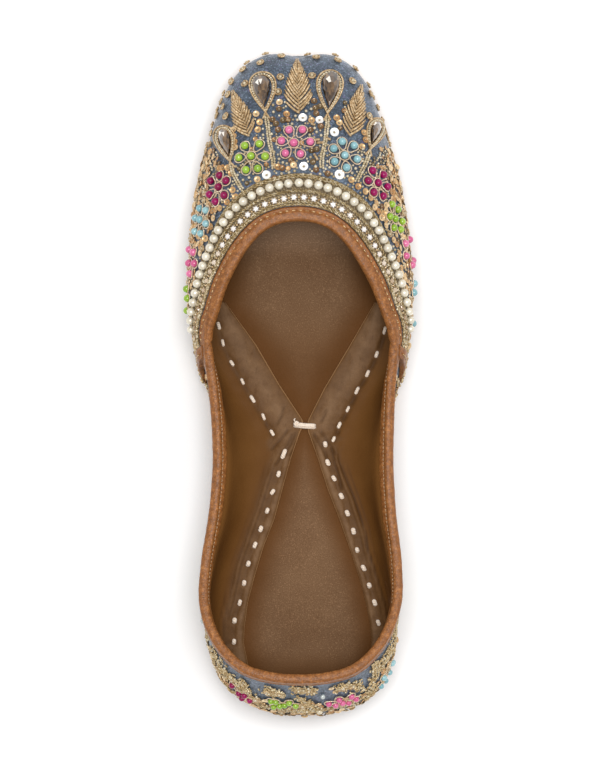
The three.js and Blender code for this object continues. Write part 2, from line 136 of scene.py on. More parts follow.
def offset(u, v, t):
    p, n, _ = frames(u, v)
    return p + n * np.asarray(t, float)[..., None]


def wall(u, v, t):
    q = offset(u, v, t)
    q[..., 2] = np.maximum(q[..., 2], feather_z(q[..., 1]))
    return q


def v_below(u, d):
    """Profile share that lies d below the collar edge; u (n,), d (n, m)."""
    vs = np.linspace(1, 0, 101)
    P = bez(u[:, None], vs[None, :])
    L = np.concatenate([np.zeros((len(u), 1)), np.cumsum(np.linalg.norm(np.diff(P, axis=1), axis=2), axis=1)], 1)
    return np.stack([np.interp(d[i], L[i], vs) for i in range(len(u))])


def edge_points(u, d, t):
    """Points d below the collar (above it when negative) and t out from the lining; u (n,), d and t (n, m)."""
    d, t = np.broadcast_arrays(d, t)
    v = v_below(u, np.maximum(d, 0))
    p, n, r = frames(u[:, None], v)
    q = p + n * t[..., None] + r * np.maximum(-d, 0)[..., None]
    return q, n, r


def along_u(u, v):
    return np.linalg.norm(bez(u + 0.05, v) - bez(u - 0.05, v), axis=-1) / 0.1


def wing_edge(v):
    return WING_FOOT + (WING_TOP - WING_FOOT) * np.maximum(0, v) ** 0.9


# ---------------------------------------------------------------- from the camera's picture to the shoe's surface
CAM_Z = 1611.0
PX = 0.3782


def pix(x, y):
    return np.array([(np.asarray(x, float) - 155) * PX, (381.5 - np.asarray(y, float)) * PX]).T


def project(p):
    return p[..., :2] * (CAM_Z / (CAM_Z - p[..., 2]))[..., None]


_su, _sv = np.meshgrid(np.arange(-18, 18, 0.12), np.linspace(0.04, 1, 90), indexing="ij")
_su, _sv = _su.ravel(), _sv.ravel()
_p, _n, _ = frames(_su, _sv)
_keep = _n[:, 2] > 0.06
_su, _sv, _p, _n = _su[_keep], _sv[_keep], _p[_keep], _n[_keep]
_q = project(_p + _n * 3.0)
_tree = KDTree(len(_q))
for _i, _c in enumerate(_q):
    _tree.insert((_c[0], _c[1], 0), _i)
_tree.balance()


def land(xy, t=3.0):
    """Ring position and profile share of the surface that shows at those picture points, at height t."""
    xy = np.asarray(xy, float).reshape(-1, 2)
    idx = [_tree.find((a, b, 0))[1] for a, b in xy]
    u, v = _su[idx].copy(), _sv[idx].copy()
    t = np.broadcast_to(np.asarray(t, float), u.shape)
    for _ in range(5):
        f = project(offset(u, v, t)) - xy
        ju = (project(offset(u + 0.01, v, t)) - xy - f) / 0.01
        jv = (project(offset(u, v - 0.004, t)) - xy - f) / -0.004
        det = ju[:, 0] * jv[:, 1] - ju[:, 1] * jv[:, 0]
        det = np.where(np.abs(det) < 4.0, np.sign(det) * 4.0 + (det == 0) * 4.0, det)
        du = -(f[:, 0] * jv[:, 1] - f[:, 1] * jv[:, 0]) / det
        dv = -(ju[:, 0] * f[:, 1] - ju[:, 1] * f[:, 0]) / det
        u = u + np.clip(du, -0.12, 0.12)
        v = np.clip(v + np.clip(dv, -0.02, 0.02), 0.03, 0.999)
    return u, v


def lift(direction, n):
    """A direction in plan, laid into the surface with normal n."""
    d = np.zeros(n.shape)
    d[..., :2] = direction
    nz = np.maximum(n[..., 2], 0.25)
    d[..., 2] = -(d[..., 0] * n[..., 0] + d[..., 1] * n[..., 1]) / nz
    d -= n * (d * n).sum(-1, keepdims=True)
    return d / np.linalg.norm(d, axis=-1, keepdims=True)


# ---------------------------------------------------------------- meshes
def grid_faces(ni, nj, loop=False, flip=False, base=0):
    i, j = np.meshgrid(np.arange(ni if loop else ni - 1), np.arange(nj - 1), indexing="ij")
    k = (i + 1) % ni
    q = np.stack([i * nj + j, i * nj + j + 1, k * nj + j + 1, k * nj + j], -1).reshape(-1, 4) + base
    return q[:, ::-1] if flip else q


def sheet(front, back, loop=False):
    """Closed sheet between two grids (ni, nj, 3), with its face groups: front, back, rims."""
    ni, nj = front.shape[:2]
    V = np.concatenate([front.reshape(-1, 3), back.reshape(-1, 3)])
    m = ni * nj
    F, B = grid_faces(ni, nj, loop), grid_faces(ni, nj, loop, True, m)
    i = np.arange(ni if loop else ni - 1)
    k = (i + 1) % ni
    rims = [np.stack([i * nj, k * nj, k * nj + m, i * nj + m], -1),
            np.stack([i * nj + nj - 1, i * nj + nj - 1 + m, k * nj + nj - 1 + m, k * nj + nj - 1], -1)]
    if not loop:
        j = np.arange(nj - 1)
        e = (ni - 1) * nj
        rims += [np.stack([j, j + m, j + 1 + m, j + 1], -1), np.stack([e + j, e + j + 1, e + j + 1 + m, e + j + m], -1)]
    return V, F, B, np.concatenate(rims)


def outward(V, faces):
    """Turns the faces of a closed form outwards."""
    vol = 0.0
    for f in faces:
        for k in range(1, f.shape[1] - 1):
            a, b, c = V[f[:, 0]], V[f[:, k]], V[f[:, k + 1]]
            vol += np.einsum("ij,ij->i", a, np.cross(b, c)).sum()
    return faces if vol >= 0 else [f[:, ::-1] for f in faces]


def make(name, V, faces, mats, slot, groups=None, angle=None, uv=None, tone=None, node=None, facet=None, extra=None):
    """A mesh object from points in the last's millimetres; groups gives each face array its material."""
    V = (np.asarray(V, float) + SHIFT) * 0.001
    faces = [np.asarray(f) for f in faces if len(f)]
    me = bpy.data.meshes.new(name)
    loops = np.concatenate([f.ravel() for f in faces]).astype(np.int32)
    sizes = np.concatenate([np.full(len(f), f.shape[1]) for f in faces])
    me.vertices.add(len(V))
    me.vertices.foreach_set("co", V.astype(np.float32).ravel())
    me.loops.add(len(loops))
    me.loops.foreach_set("vertex_index", loops)
    me.polygons.add(len(sizes))
    me.polygons.foreach_set("loop_start", np.concatenate([[0], np.cumsum(sizes)[:-1]]).astype(np.int32))
    me.polygons.foreach_set("use_smooth", np.full(len(sizes), angle != 0))
    if groups is not None:
        me.polygons.foreach_set("material_index", np.concatenate([np.full(len(f), g) for f, g in zip(faces, groups)]).astype(np.int32))
    if uv is not None:
        layer = me.uv_layers.new(name="UVMap")
        layer.data.foreach_set("uv", np.asarray(uv, np.float32)[loops].ravel())
    if tone is not None:
        at = me.attributes.new("tone", "FLOAT", "POINT")
        at.data.foreach_set("value", np.asarray(tone, np.float32))
    for key, vals in (extra or {}).items():
        at_ = me.attributes.new(key, "FLOAT", "POINT")
        at_.data.foreach_set("value", np.asarray(vals, np.float32))
    if facet is not None:
        at_ = me.attributes.new("facet", "FLOAT", "FACE")
        at_.data.foreach_set("value", np.asarray(facet, np.float32))
    me.update(calc_edges=True)
    if angle:
        me.set_sharp_from_angle(angle=math.radians(angle))
    for m in mats if isinstance(mats, (list, tuple)) else [mats]:
        me.materials.append(m)
    ob = bpy.data.objects.new(name, me)
    bpy.context.scene.collection.objects.link(ob)
    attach(ob, "root")
    if node:
        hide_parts(node)
    return ob


class Pile:
    """Small shapes gathered into one mesh, each with its own tone."""

    def __init__(self):
        self.V, self.F, self.T, self.U, self.n = [], {}, [], [], 0

    def add(self, V, faces, tone=0.5, uv=None):
        self.V.append(V)
        for f in faces:
            self.F.setdefault(f.shape[1], []).append(f + self.n)
        self.T.append(np.broadcast_to(np.asarray(tone, float), (len(V),)))
        self.U.append(np.zeros((len(V), 2)) if uv is None else uv)
        self.n += len(V)

    def copies(self, shape, origins, X, Y, Z, scale=1.0, tone=0.5):
        """Copies of shape (V, faces) at origins with axes X, Y, Z (m, 3 each)."""
        V, faces = shape[:2]
        m = len(origins)
        if not m:
            return
        s = np.broadcast_to(np.asarray(scale, float).reshape(-1, 1) if np.ndim(scale) < 2 else scale, (m, 3))
        P = origins[:, None, :] + V[None, :, 0:1] * (X * s[:, 0:1])[:, None, :] + V[None, :, 1:2] * (Y * s[:, 1:2])[:, None, :] + V[None, :, 2:3] * (Z * s[:, 2:3])[:, None, :]
        k = len(V)
        step = (np.arange(m) * k)[:, None, None]
        for f in faces:
            self.F.setdefault(f.shape[1], []).append((f[None] + step).reshape(-1, f.shape[1]) + self.n)
        self.V.append(P.reshape(-1, 3))
        self.T.append(np.repeat(np.broadcast_to(np.asarray(tone, float), (m,)), k))
        self.U.append(np.zeros((m * k, 2)))
        self.n += m * k

    def make(self, name, mats, slot, angle=None, **more):
        return make(name, np.concatenate(self.V), [np.concatenate(f) for f in self.F.values()], mats, slot, angle=angle,
                    tone=np.concatenate(self.T), uv=np.concatenate(self.U), **more)


def ball(sides=16, rings=10, squash=1.0):
    a = np.linspace(0, math.pi, rings + 1)[1:-1]
    b = np.arange(sides) * 2 * math.pi / sides
    V = [np.array([[0, 0, squash]])]
    V += [np.stack([np.sin(x) * np.cos(b), np.sin(x) * np.sin(b), np.full(sides, math.cos(x) * squash)], -1) for x in a]
    V.append(np.array([[0, 0, -squash]]))
    V = np.concatenate(V)
    i = np.arange(sides)
    j = (i + 1) % sides
    tri = [np.stack([np.zeros(sides, int), 1 + i, 1 + j], -1)]
    last = 1 + (rings - 2) * sides
    tri.append(np.stack([np.full(sides, len(V) - 1), last + j, last + i], -1))
    quads = [np.stack([1 + r * sides + i, 1 + (r + 1) * sides + i, 1 + (r + 1) * sides + j, 1 + r * sides + j], -1) for r in range(rings - 2)]
    return V, [np.concatenate(tri), np.concatenate(quads)]


def lathe(profile, sides=16):
    """A closed ring of section profile (r, z) turned about z."""
    b = np.arange(sides) * 2 * math.pi / sides
    pr = np.asarray(profile, float)
    V = np.stack([np.outer(np.cos(b), pr[:, 0]), np.outer(np.sin(b), pr[:, 0]), np.tile(pr[:, 1], (sides, 1))], -1).reshape(-1, 3)
    m = len(pr)
    i, j = np.meshgrid(np.arange(sides), np.arange(m), indexing="ij")
    k, l = (i + 1) % sides, (j + 1) % m
    q = np.stack([i * m + j, k * m + j, k * m + l, i * m + l], -1).reshape(-1, 4)
    return V, outward(V, [q])


def transport(path):
    """Tangents and two cross axes carried along a path."""
    t = np.gradient(path, axis=0)
    t /= np.linalg.norm(t, axis=1, keepdims=True) + 1e-12
    up = np.array([0.0, 0, 1]) if abs(t[0, 2]) < 0.9 else np.array([1.0, 0, 0])
    a = np.cross(t[0], up)
    a /= np.linalg.norm(a)
    A = np.zeros_like(path)
    for i in range(len(path)):
        a = a - t[i] * (a @ t[i])
        a = a / np.linalg.norm(a)
        A[i] = a
    return t, A, np.cross(t, A)


def tube(path, radius, sides=8, closed=False, flat=1.0, up=None):
    """A round wire along path; flat squashes it along up. UV runs in millimetres along the wire."""
    path = np.asarray(path, float)
    n = len(path)
    r = np.broadcast_to(np.asarray(radius, float), (n,))
    if closed:
        t = np.roll(path, -1, 0) - np.roll(path, 1, 0)
        t /= np.linalg.norm(t, axis=1, keepdims=True)
        B = np.broadcast_to(up, path.shape) if up is not None else np.tile([0, 0, 1.0], (n, 1))
        B = B - t * (B * t).sum(1, keepdims=True)
        B = B / np.linalg.norm(B, axis=1, keepdims=True)
        A = np.cross(B, t)
    elif up is not None:
        t = np.gradient(path, axis=0)
        t /= np.linalg.norm(t, axis=1, keepdims=True) + 1e-12
        B = np.broadcast_to(up, path.shape)
        B = B - t * (B * t).sum(1, keepdims=True)
        B = B / np.linalg.norm(B, axis=1, keepdims=True)
        A = np.cross(B, t)
    else:
        t, A, B = transport(path)
    c = np.arange(sides) * 2 * math.pi / sides
    V = path[:, None, :] + r[:, None, None] * (np.cos(c)[None, :, None] * A[:, None, :] + flat * np.sin(c)[None, :, None] * B[:, None, :])
    V = V.reshape(-1, 3)
    s = np.concatenate([[0], np.cumsum(np.linalg.norm(np.diff(path, axis=0), axis=1))])
    uv = np.stack([np.repeat(s, sides), np.tile(c, n)], -1)
    i, j = np.meshgrid(np.arange(n if closed else n - 1), np.arange(sides), indexing="ij")
    k, l = (i + 1) % n, (j + 1) % sides
    quads = np.stack([i * sides + j, i * sides + l, k * sides + l, k * sides + j], -1).reshape(-1, 4)
    faces = [quads]
    if not closed:
        V = np.concatenate([V, [path[0] - t[0] * r[0] * 0.5, path[-1] + t[-1] * r[-1] * 0.5]])
        uv = np.concatenate([uv, [[s[0], 0], [s[-1], 0]]])
        j = np.arange(sides)
        l = (j + 1) % sides
        e = (n - 1) * sides
        faces.append(np.concatenate([np.stack([np.full(sides, n * sides), l, j], -1), np.stack([np.full(sides, n * sides + 1), e + j, e + l], -1)]))
    return V, outward(V, faces), uv


def resample(points, step):
    p = np.asarray(points, float)
    s = np.concatenate([[0], np.cumsum(np.linalg.norm(np.diff(p, axis=0), axis=1))])
    m = max(2, int(round(s[-1] / step)) + 1)
    q = np.linspace(0, s[-1], m)
    return np.stack([np.interp(q, s, p[:, k]) for k in range(p.shape[1])], -1)


def spline(points, n):
    """Catmull-Rom through the points."""
    p = np.asarray(points, float)
    p = np.concatenate([[2 * p[0] - p[1]], p, [2 * p[-1] - p[-2]]])
    w = np.linspace(0, len(p) - 3 - 1e-9, n)
    i = np.floor(w).astype(int)
    t = (w - i)[:, None]
    a, b, c, d = p[i], p[i + 1], p[i + 2], p[i + 3]
    return 0.5 * (2 * b + (c - a) * t + (2 * a - 5 * b + 4 * c - d) * t * t + (3 * b - a - 3 * c + d) * t ** 3)


def ripple(p, size, seed):
    """A smooth wandering value in -1..1 over points, for creases and unevenness."""
    r = np.random.default_rng(seed)
    out = 0.0
    for k in range(7):
        d = r.normal(size=3)
        d *= (0.6 + 0.9 * r.random()) * 2 * math.pi / size / np.linalg.norm(d)
        out = out + np.sin(p @ d + r.random() * 6.28)
    return out / 7 * 1.6


# ---------------------------------------------------------------- materials
class Mat:
    """A material's node tree, with the shader's own sockets set by name."""

    def __init__(self, name, **sockets):
        self.m = bpy.data.materials.new(name)
        self.m.use_nodes = True
        self.t = self.m.node_tree
        self.t.nodes.clear()
        self.out = self.t.nodes.new("ShaderNodeOutputMaterial")
        self.bsdf = self.t.nodes.new("ShaderNodeBsdfPrincipled")
        self.t.links.new(self.bsdf.outputs[0], self.out.inputs[0])
        for k, v in sockets.items():
            self.bsdf.inputs[k.replace("_", " ")].default_value = v
        self.coord = self.t.nodes.new("ShaderNodeTexCoord").outputs["Object"]

    def node(self, kind, inputs=None, **props):
        n = self.t.nodes.new("ShaderNode" + kind)
        for k, v in props.items():
            setattr(n, k, v)
        for k, v in (inputs or {}).items():
            if hasattr(v, "links") or isinstance(v, bpy.types.NodeSocket):
                self.t.links.new(v, n.inputs[k])
            else:
                n.inputs[k].default_value = v
        return n

    def scaled(self, sx, sy, sz, source=None):
        return self.node("Mapping", {"Vector": source or self.coord, "Scale": (sx, sy, sz)}).outputs[0]

    def noise(self, mm, detail=3.0, rough=0.55, vector=None):
        return self.node("TexNoise", {"Vector": vector or self.coord, "Scale": 1000.0 / mm if vector is None else 1.0 / mm, "Detail": detail, "Roughness": rough}).outputs[0]

    def cells(self, mm, feature="F1", vector=None, out="Distance"):
        return self.node("TexVoronoi", {"Vector": vector or self.coord, "Scale": 1000.0 / mm if vector is None else 1.0 / mm}, feature=feature).outputs[out]

    def ramp(self, fac, *stops):
        n = self.node("ValToRGB", {"Fac": fac})
        e = n.color_ramp.elements
        while len(e) < len(stops):
            e.new(0.5)
        for el, (pos, c) in zip(e, stops):
            el.position = pos
            el.color = tuple(c) + (1,) if len(c) == 3 else tuple(c)
        return n.outputs[0]

    def mix(self, fac, a, b, mode="MIX"):
        n = self.t.nodes.new("ShaderNodeMix")
        n.data_type = "RGBA"
        n.blend_type = mode
        for sock, val in ((n.inputs[0], fac), (n.inputs[6], a), (n.inputs[7], b)):
            if isinstance(val, bpy.types.NodeSocket):
                self.t.links.new(val, sock)
            else:
                sock.default_value = tuple(val) + (1,) if isinstance(val, (tuple, list)) and len(val) == 3 else val
        return n.outputs[2]

    def math(self, op, a, b=0.0, c=0.0):
        n = self.t.nodes.new("ShaderNodeMath")
        n.operation = op
        for sock, val in zip(n.inputs, (a, b, c)):
            if isinstance(val, bpy.types.NodeSocket):
                self.t.links.new(val, sock)
            else:
                sock.default_value = val
        return n.outputs[0]

    def span(self, value, a, b, c, d):
        n = self.node("MapRange", {"Value": value, "From Min": a, "From Max": b, "To Min": c, "To Max": d})
        return n.outputs[0]

    def bump(self, height, mm, strength=1.0, normal=None):
        n = self.node("Bump", {"Height": height, "Distance": mm * 0.001, "Strength": strength})
        if normal is not None:
            self.t.links.new(normal, n.inputs["Normal"])
        return n.outputs[0]

    def set(self, **sockets):
        for k, v in sockets.items():
            s = self.bsdf.inputs[k.replace("_", " ")]
            if isinstance(v, bpy.types.NodeSocket):
                self.t.links.new(v, s)
            else:
                s.default_value = v
        return self.m

    def attr(self, name):
        n = self.t.nodes.new("ShaderNodeAttribute")
        n.attribute_name = name
        return n.outputs["Fac"]

    def uv(self):
        return self.t.nodes.new("ShaderNodeUVMap").outputs[0]


def srgb(r, g, b, k=1.0):
    f = lambda c: ((c / 255 + 0.055) / 1.055) ** 2.4 if c > 10 else c / 255 / 12.92
    return (f(r) * k, f(g) * k, f(b) * k)


def leather(name, dark, mid, light, rough=0.5, grain=0.75, fine=0.3, mottle=9.0, bump=0.10, speck=0.35, **more):
    g = Mat(name, **{"Specular_IOR_Level": 0.22, **more})
    big = g.noise(mottle, 3, 0.6)
    col = g.ramp(big, (0.30, dark), (0.52, mid), (0.74, light))
    pores = g.cells(grain, "F1")
    tiny = g.noise(fine, 2, 0.6)
    col = g.mix(g.span(pores, 0.0, 0.55, 0.0, 0.55), col, g.mix(1.0, col, (1.32, 1.27, 1.2), "MULTIPLY"))
    col = g.mix(g.span(tiny, 0.55, 0.75, 0.0, speck), col, g.mix(1.0, col, (1.9, 1.75, 1.6), "MULTIPLY"))
    col = g.mix(g.span(tiny, 0.45, 0.25, 0.0, speck), col, g.mix(1.0, col, (0.55, 0.5, 0.45), "MULTIPLY"))
    r = g.math("ADD", g.span(big, 0.3, 0.7, rough - 0.05, rough + 0.07), g.span(tiny, 0.3, 0.7, -0.05, 0.05))
    n = g.bump(pores, bump, 0.7)
    n = g.bump(tiny, bump * 0.5, 0.6, n)
    n = g.bump(g.noise(3.2, 2), bump * 2.0, 0.5, n)
    g.set(Base_Color=col, Roughness=r, Normal=n)
    return g


M_LINING = leather("lining_leather", srgb(82, 50, 20), srgb(93, 60, 27), srgb(102, 68, 33), rough=0.52, speck=0.12, bump=0.06, mottle=14).m
M_FLAP = leather("flap_leather", srgb(102, 71, 43), srgb(118, 86, 58), srgb(134, 101, 73), rough=0.5, speck=0.18, bump=0.08, mottle=6).m


def insole_leather():
    """Darker brown next to the flaps and at the ends as painted shade, a lighter, grainy taupe along the middle as a
    painted sheen.
    """
    g = Mat("insole_leather", Specular_IOR_Level=0.04)
    t = g.attr("tone")
    big = g.noise(22, 3, 0.6)
    side_ = g.ramp(big, (0.3, srgb(88, 54, 20)), (0.7, srgb(96, 60, 26)))
    mid_ = g.ramp(big, (0.3, srgb(104, 75, 50)), (0.7, srgb(117, 88, 62)))
    # painted shade and sheen: tone picks the darker side colour near the flaps and the lighter middle colour away from
    # them
    col = g.mix(t, side_, mid_)
    tiny = g.noise(0.42, 2, 0.65)
    pores = g.cells(0.62, "F1")
    # painted light: the shade attribute lightens the insole towards the toe, where the vamp overhangs it
    col = g.mix(g.math("MULTIPLY", g.attr("shade"), 1.0), col, srgb(146, 116, 90))
    # painted glints: light specks on the grain, strongest where the painted sheen is
    lit = g.math("MULTIPLY", g.span(tiny, 0.58, 0.66, 0.0, 0.85), g.span(t, 0.15, 1.0, 0.04, 1.0))
    col = g.mix(lit, col, g.mix(1.0, col, (1.75, 1.8, 1.85), "MULTIPLY"))
    col = g.mix(g.math("MULTIPLY", g.span(tiny, 0.46, 0.32, 0.0, 0.55), g.span(t, 0.0, 1.0, 0.25, 1.0)), col, g.mix(1.0, col, (0.62, 0.56, 0.5), "MULTIPLY"))
    n = g.bump(pores, 0.06, 0.7)
    n = g.bump(tiny, 0.06, 0.6, n)
    n = g.bump(g.noise(5.0, 2), 0.2, 0.3, n)
    g.set(Base_Color=col, Roughness=g.span(tiny, 0.3, 0.7, 0.52, 0.4), Normal=n)
    return g.m


M_INSOLE = insole_leather()
M_BIND = leather("binding_leather", srgb(106, 64, 26), srgb(128, 80, 37), srgb(156, 104, 56), rough=0.38, grain=0.5, fine=0.42, speck=0.95, bump=0.16, mottle=1.5, Specular_IOR_Level=0.42).m
M_SOLE = leather("outsole_leather", srgb(150, 112, 76), srgb(178, 138, 98), srgb(198, 160, 118), rough=0.7, speck=0.3, bump=0.08, mottle=8).m


def stacked_leather():
    g = Mat("heel_leather")
    z = g.node("SeparateXYZ", {"Vector": g.coord}).outputs["Z"]
    layers = g.math("FRACT", g.math("MULTIPLY", z, 1000 / 1.9))
    base = g.ramp(g.noise(5), (0.3, srgb(92, 60, 36)), (0.7, srgb(126, 86, 54)))
    fibre = g.noise(0.9, 4, 0.6, g.scaled(300, 300, 3000))
    col = g.mix(g.span(fibre, 0.3, 0.7, 0.0, 0.5), base, srgb(70, 44, 26))
    line = g.span(layers, 0.9, 0.97, 0.0, 1.0)
    col = g.mix(line, col, srgb(48, 30, 18))
    g.set(Base_Color=col, Roughness=g.span(fibre, 0.3, 0.7, 0.42, 0.6), Normal=g.bump(line, 0.12, -0.8, g.bump(fibre, 0.05, 0.6)))
    return g.m


M_HEEL = stacked_leather()


def slate_cloth():
    g = Mat("slate_cloth", Sheen_Weight=0.22, Sheen_Roughness=0.35, Anisotropic=0.4)
    g.bsdf.inputs["Sheen Tint"].default_value = (0.78, 0.84, 0.92, 1)
    base = g.ramp(g.noise(7, 3), (0.3, srgb(60, 70, 82)), (0.55, srgb(79, 91, 105)), (0.75, srgb(99, 113, 130)))
    spark = g.noise(0.75, 3, 0.7)
    col = g.mix(g.span(spark, 0.55, 0.68, 0.0, 0.75), base, srgb(150, 168, 192))
    violet = g.noise(1.3, 2, 0.6, g.scaled(1000, 900, 1100))
    col = g.mix(g.span(violet, 0.58, 0.72, 0.0, 0.55), col, srgb(128, 116, 158))
    col = g.mix(g.span(spark, 0.46, 0.32, 0.0, 0.75), col, srgb(38, 42, 50))
    warp = g.node("TexWave", {"Vector": g.coord, "Scale": 1000 / 2.2, "Distortion": 1.2, "Detail": 2.0}, wave_type="BANDS", bands_direction="DIAGONAL").outputs["Fac"]
    n = g.bump(warp, 0.05, 0.6)
    n = g.bump(spark, 0.12, 0.8, n)
    g.set(Base_Color=col, Roughness=g.span(spark, 0.35, 0.65, 0.5, 0.32), Metallic=0.25, Normal=n)
    return g.m


M_CLOTH = slate_cloth()


def wire(name, dark, mid, light, rough=0.3, pitch=0.28, metallic=0.9):
    """Metal thread: a close coil along its UV, with worn and tarnished patches."""
    g = Mat(name, Metallic=metallic)
    uv = g.node("SeparateXYZ", {"Vector": g.uv()})
    coil = g.math("SINE", g.math("ADD", g.math("MULTIPLY", uv.outputs["X"], 2 * math.pi / pitch), uv.outputs["Y"]))
    patch = g.noise(0.9, 2)
    col = g.ramp(patch, (0.28, dark), (0.5, mid), (0.72, light))
    # painted shade: the coil's grooves between its turns are darkened
    col = g.mix(g.span(coil, -1, -0.2, 0.55, 0.0), col, g.mix(1.0, col, (0.45, 0.38, 0.3), "MULTIPLY"))
    tone = g.attr("tone")
    col = g.mix(g.span(tone, 0.0, 1.0, 0.35, 0.0), col, dark)
    g.set(Base_Color=col, Roughness=g.span(patch, 0.3, 0.7, rough + 0.1, rough - 0.05), Normal=g.bump(coil, 0.05, 0.9))
    return g.m


M_GOLD = wire("gold_bullion", srgb(150, 114, 70), srgb(214, 184, 140), srgb(246, 224, 188), rough=0.36, metallic=0.6)
M_CORD = wire("gold_cord", srgb(112, 90, 52), srgb(192, 168, 122), srgb(255, 246, 222), rough=0.3, pitch=0.35, metallic=0.65)
M_ROUGH = wire("rough_bullion", srgb(122, 94, 52), srgb(230, 200, 146), srgb(255, 246, 214), rough=0.3, metallic=0.6)
M_PETAL = wire("petal_wire", srgb(222, 184, 144), srgb(250, 226, 196), srgb(255, 244, 226), rough=0.28, pitch=0.3, metallic=0.5)


def bead(name, base, bright, deep, coat=0.6, gloss=0.5):
    """Painted glass bead: each bead one tone between base and bright, with deeper swirls and a hard gloss."""
    g = Mat(name, Coat_Weight=coat, Coat_Roughness=0.06, IOR=1.55, Specular_IOR_Level=gloss)
    tone = g.attr("tone")
    col = g.mix(g.span(tone, 0, 1, 0.0, 1.0), base, bright)
    swirl = g.noise(1.1, 3)
    col = g.mix(g.span(swirl, 0.4, 0.65, 0.0, 0.45), col, deep)
    g.set(Base_Color=col, Roughness=g.span(swirl, 0.3, 0.7, 0.18, 0.3), Normal=g.bump(g.noise(0.6, 2), 0.015, 0.5))
    return g.m


M_PINK = bead("bead_pink", srgb(204, 84, 134), srgb(228, 124, 168), srgb(180, 52, 108))
M_MAGENTA = bead("bead_magenta", srgb(132, 0, 66), srgb(158, 2, 92), srgb(92, 0, 44), coat=0.15, gloss=0.3)
M_LIME = bead("bead_lime", srgb(136, 174, 34), srgb(160, 196, 54), srgb(98, 138, 18))
M_SKY = bead("bead_sky", srgb(122, 170, 178), srgb(156, 198, 203), srgb(88, 142, 152))
M_CLEAR = bead("bead_clear", srgb(176, 184, 182), srgb(214, 220, 216), srgb(120, 130, 128))
M_SEED = bead("bead_seed", srgb(176, 156, 116), srgb(226, 214, 186), srgb(112, 92, 60))


def pearl():
    g = Mat("pearl_bead", Coat_Weight=0.55, Coat_Roughness=0.16, IOR=1.5, Metallic=0.3)
    tone = g.attr("tone")
    col = g.mix(tone, srgb(222, 214, 194), srgb(238, 231, 212))
    col = g.mix(g.span(g.noise(2.4, 2), 0.4, 0.7, 0.0, 0.5), col, srgb(214, 200, 184))
    col = g.mix(g.span(g.noise(1.2, 3), 0.5, 0.7, 0.0, 0.5), col, srgb(176, 166, 136))
    g.set(Base_Color=col, Roughness=g.span(g.noise(1.0), 0.3, 0.7, 0.26, 0.38), Normal=g.bump(g.noise(0.5, 2), 0.01, 0.5))
    return g.m


M_PEARL = pearl()


def crystal(name, low, high, rough=0.06, metallic=0.35):
    g = Mat(name, Coat_Weight=1.0, Coat_Roughness=0.03, IOR=1.8, Metallic=metallic)
    n = g.noise(1.6, 2)
    tone = g.attr("tone")
    col = g.mix(g.span(n, 0.35, 0.65, 0.0, 1.0), low, high)
    col = g.mix(g.span(tone, 0.5, 1.0, 0.0, 0.6), col, high)
    g.set(Base_Color=col, Roughness=g.span(n, 0.3, 0.7, rough, rough + 0.06), Normal=g.bump(g.noise(0.8, 1), 0.01, 0.3))
    return g.m


def smoky():
    """Foiled smoky crystal: every facet has its own depth of brown, and the facets set to the top of the ramp are
    painted white as a highlight.
    """
    g = Mat("smoky_crystal", Coat_Weight=1.0, Coat_Roughness=0.04, IOR=1.7, Metallic=0.3)
    f = g.attr("facet")
    col = g.ramp(f, (0.0, srgb(32, 20, 8)), (0.25, srgb(72, 50, 28)), (0.5, srgb(124, 94, 60)), (0.75, srgb(182, 150, 106)), (1.0, srgb(255, 250, 240)))
    n = g.noise(1.3, 3)
    col = g.mix(g.span(n, 0.4, 0.7, 0.0, 0.55), col, g.mix(1.0, col, (0.5, 0.42, 0.34), "MULTIPLY"))
    g.set(Base_Color=col, Roughness=g.span(n, 0.3, 0.7, 0.08, 0.16), Normal=g.bump(g.noise(0.8, 1), 0.01, 0.3))
    return g.m


M_STONE = smoky()
def rhinestone():
    g = Mat("clear_crystal", Coat_Weight=1.0, Coat_Roughness=0.04, IOR=1.7, Metallic=0.1)
    n = g.noise(1.0, 2)
    # painted light: tone runs from champagne brown on the stones turned away at the row's ends to near white on those
    # facing up, a painted reflection
    col = g.ramp(g.attr("tone"), (0.0, srgb(150, 116, 76)), (0.45, srgb(206, 184, 156)), (0.8, srgb(228, 214, 198)), (1.0, srgb(244, 238, 234)))
    col = g.mix(g.span(n, 0.5, 0.7, 0.0, 0.4), col, g.mix(1.0, col, (0.75, 0.7, 0.64), "MULTIPLY"))
    g.set(Base_Color=col, Roughness=g.span(n, 0.3, 0.7, 0.08, 0.16), Normal=g.bump(n, 0.01, 0.3))
    return g.m


M_RHINE = rhinestone()


def sequins():
    """Cupped spangles: tone runs from olive and brown to gold and pale gold."""
    g = Mat("spangles", Coat_Weight=0.5, Coat_Roughness=0.1)
    tone = g.attr("tone")
    col = g.ramp(tone, (0.0, srgb(92, 78, 44)), (0.2, srgb(122, 84, 46)), (0.4, srgb(186, 138, 86)), (0.6, srgb(216, 176, 122)), (0.8, srgb(238, 210, 166)), (0.93, srgb(240, 214, 168)), (1.0, srgb(255, 253, 250)))
    n = g.noise(0.9, 3)
    col = g.mix(g.span(n, 0.5, 0.75, 0.0, 0.5), col, g.mix(1.0, col, (0.55, 0.46, 0.38), "MULTIPLY"))
    g.set(Base_Color=col, Roughness=g.span(n, 0.3, 0.7, 0.26, 0.4), Metallic=0.45, Normal=g.bump(n, 0.03, 0.5))
    return g.m


M_SPANGLE = sequins()


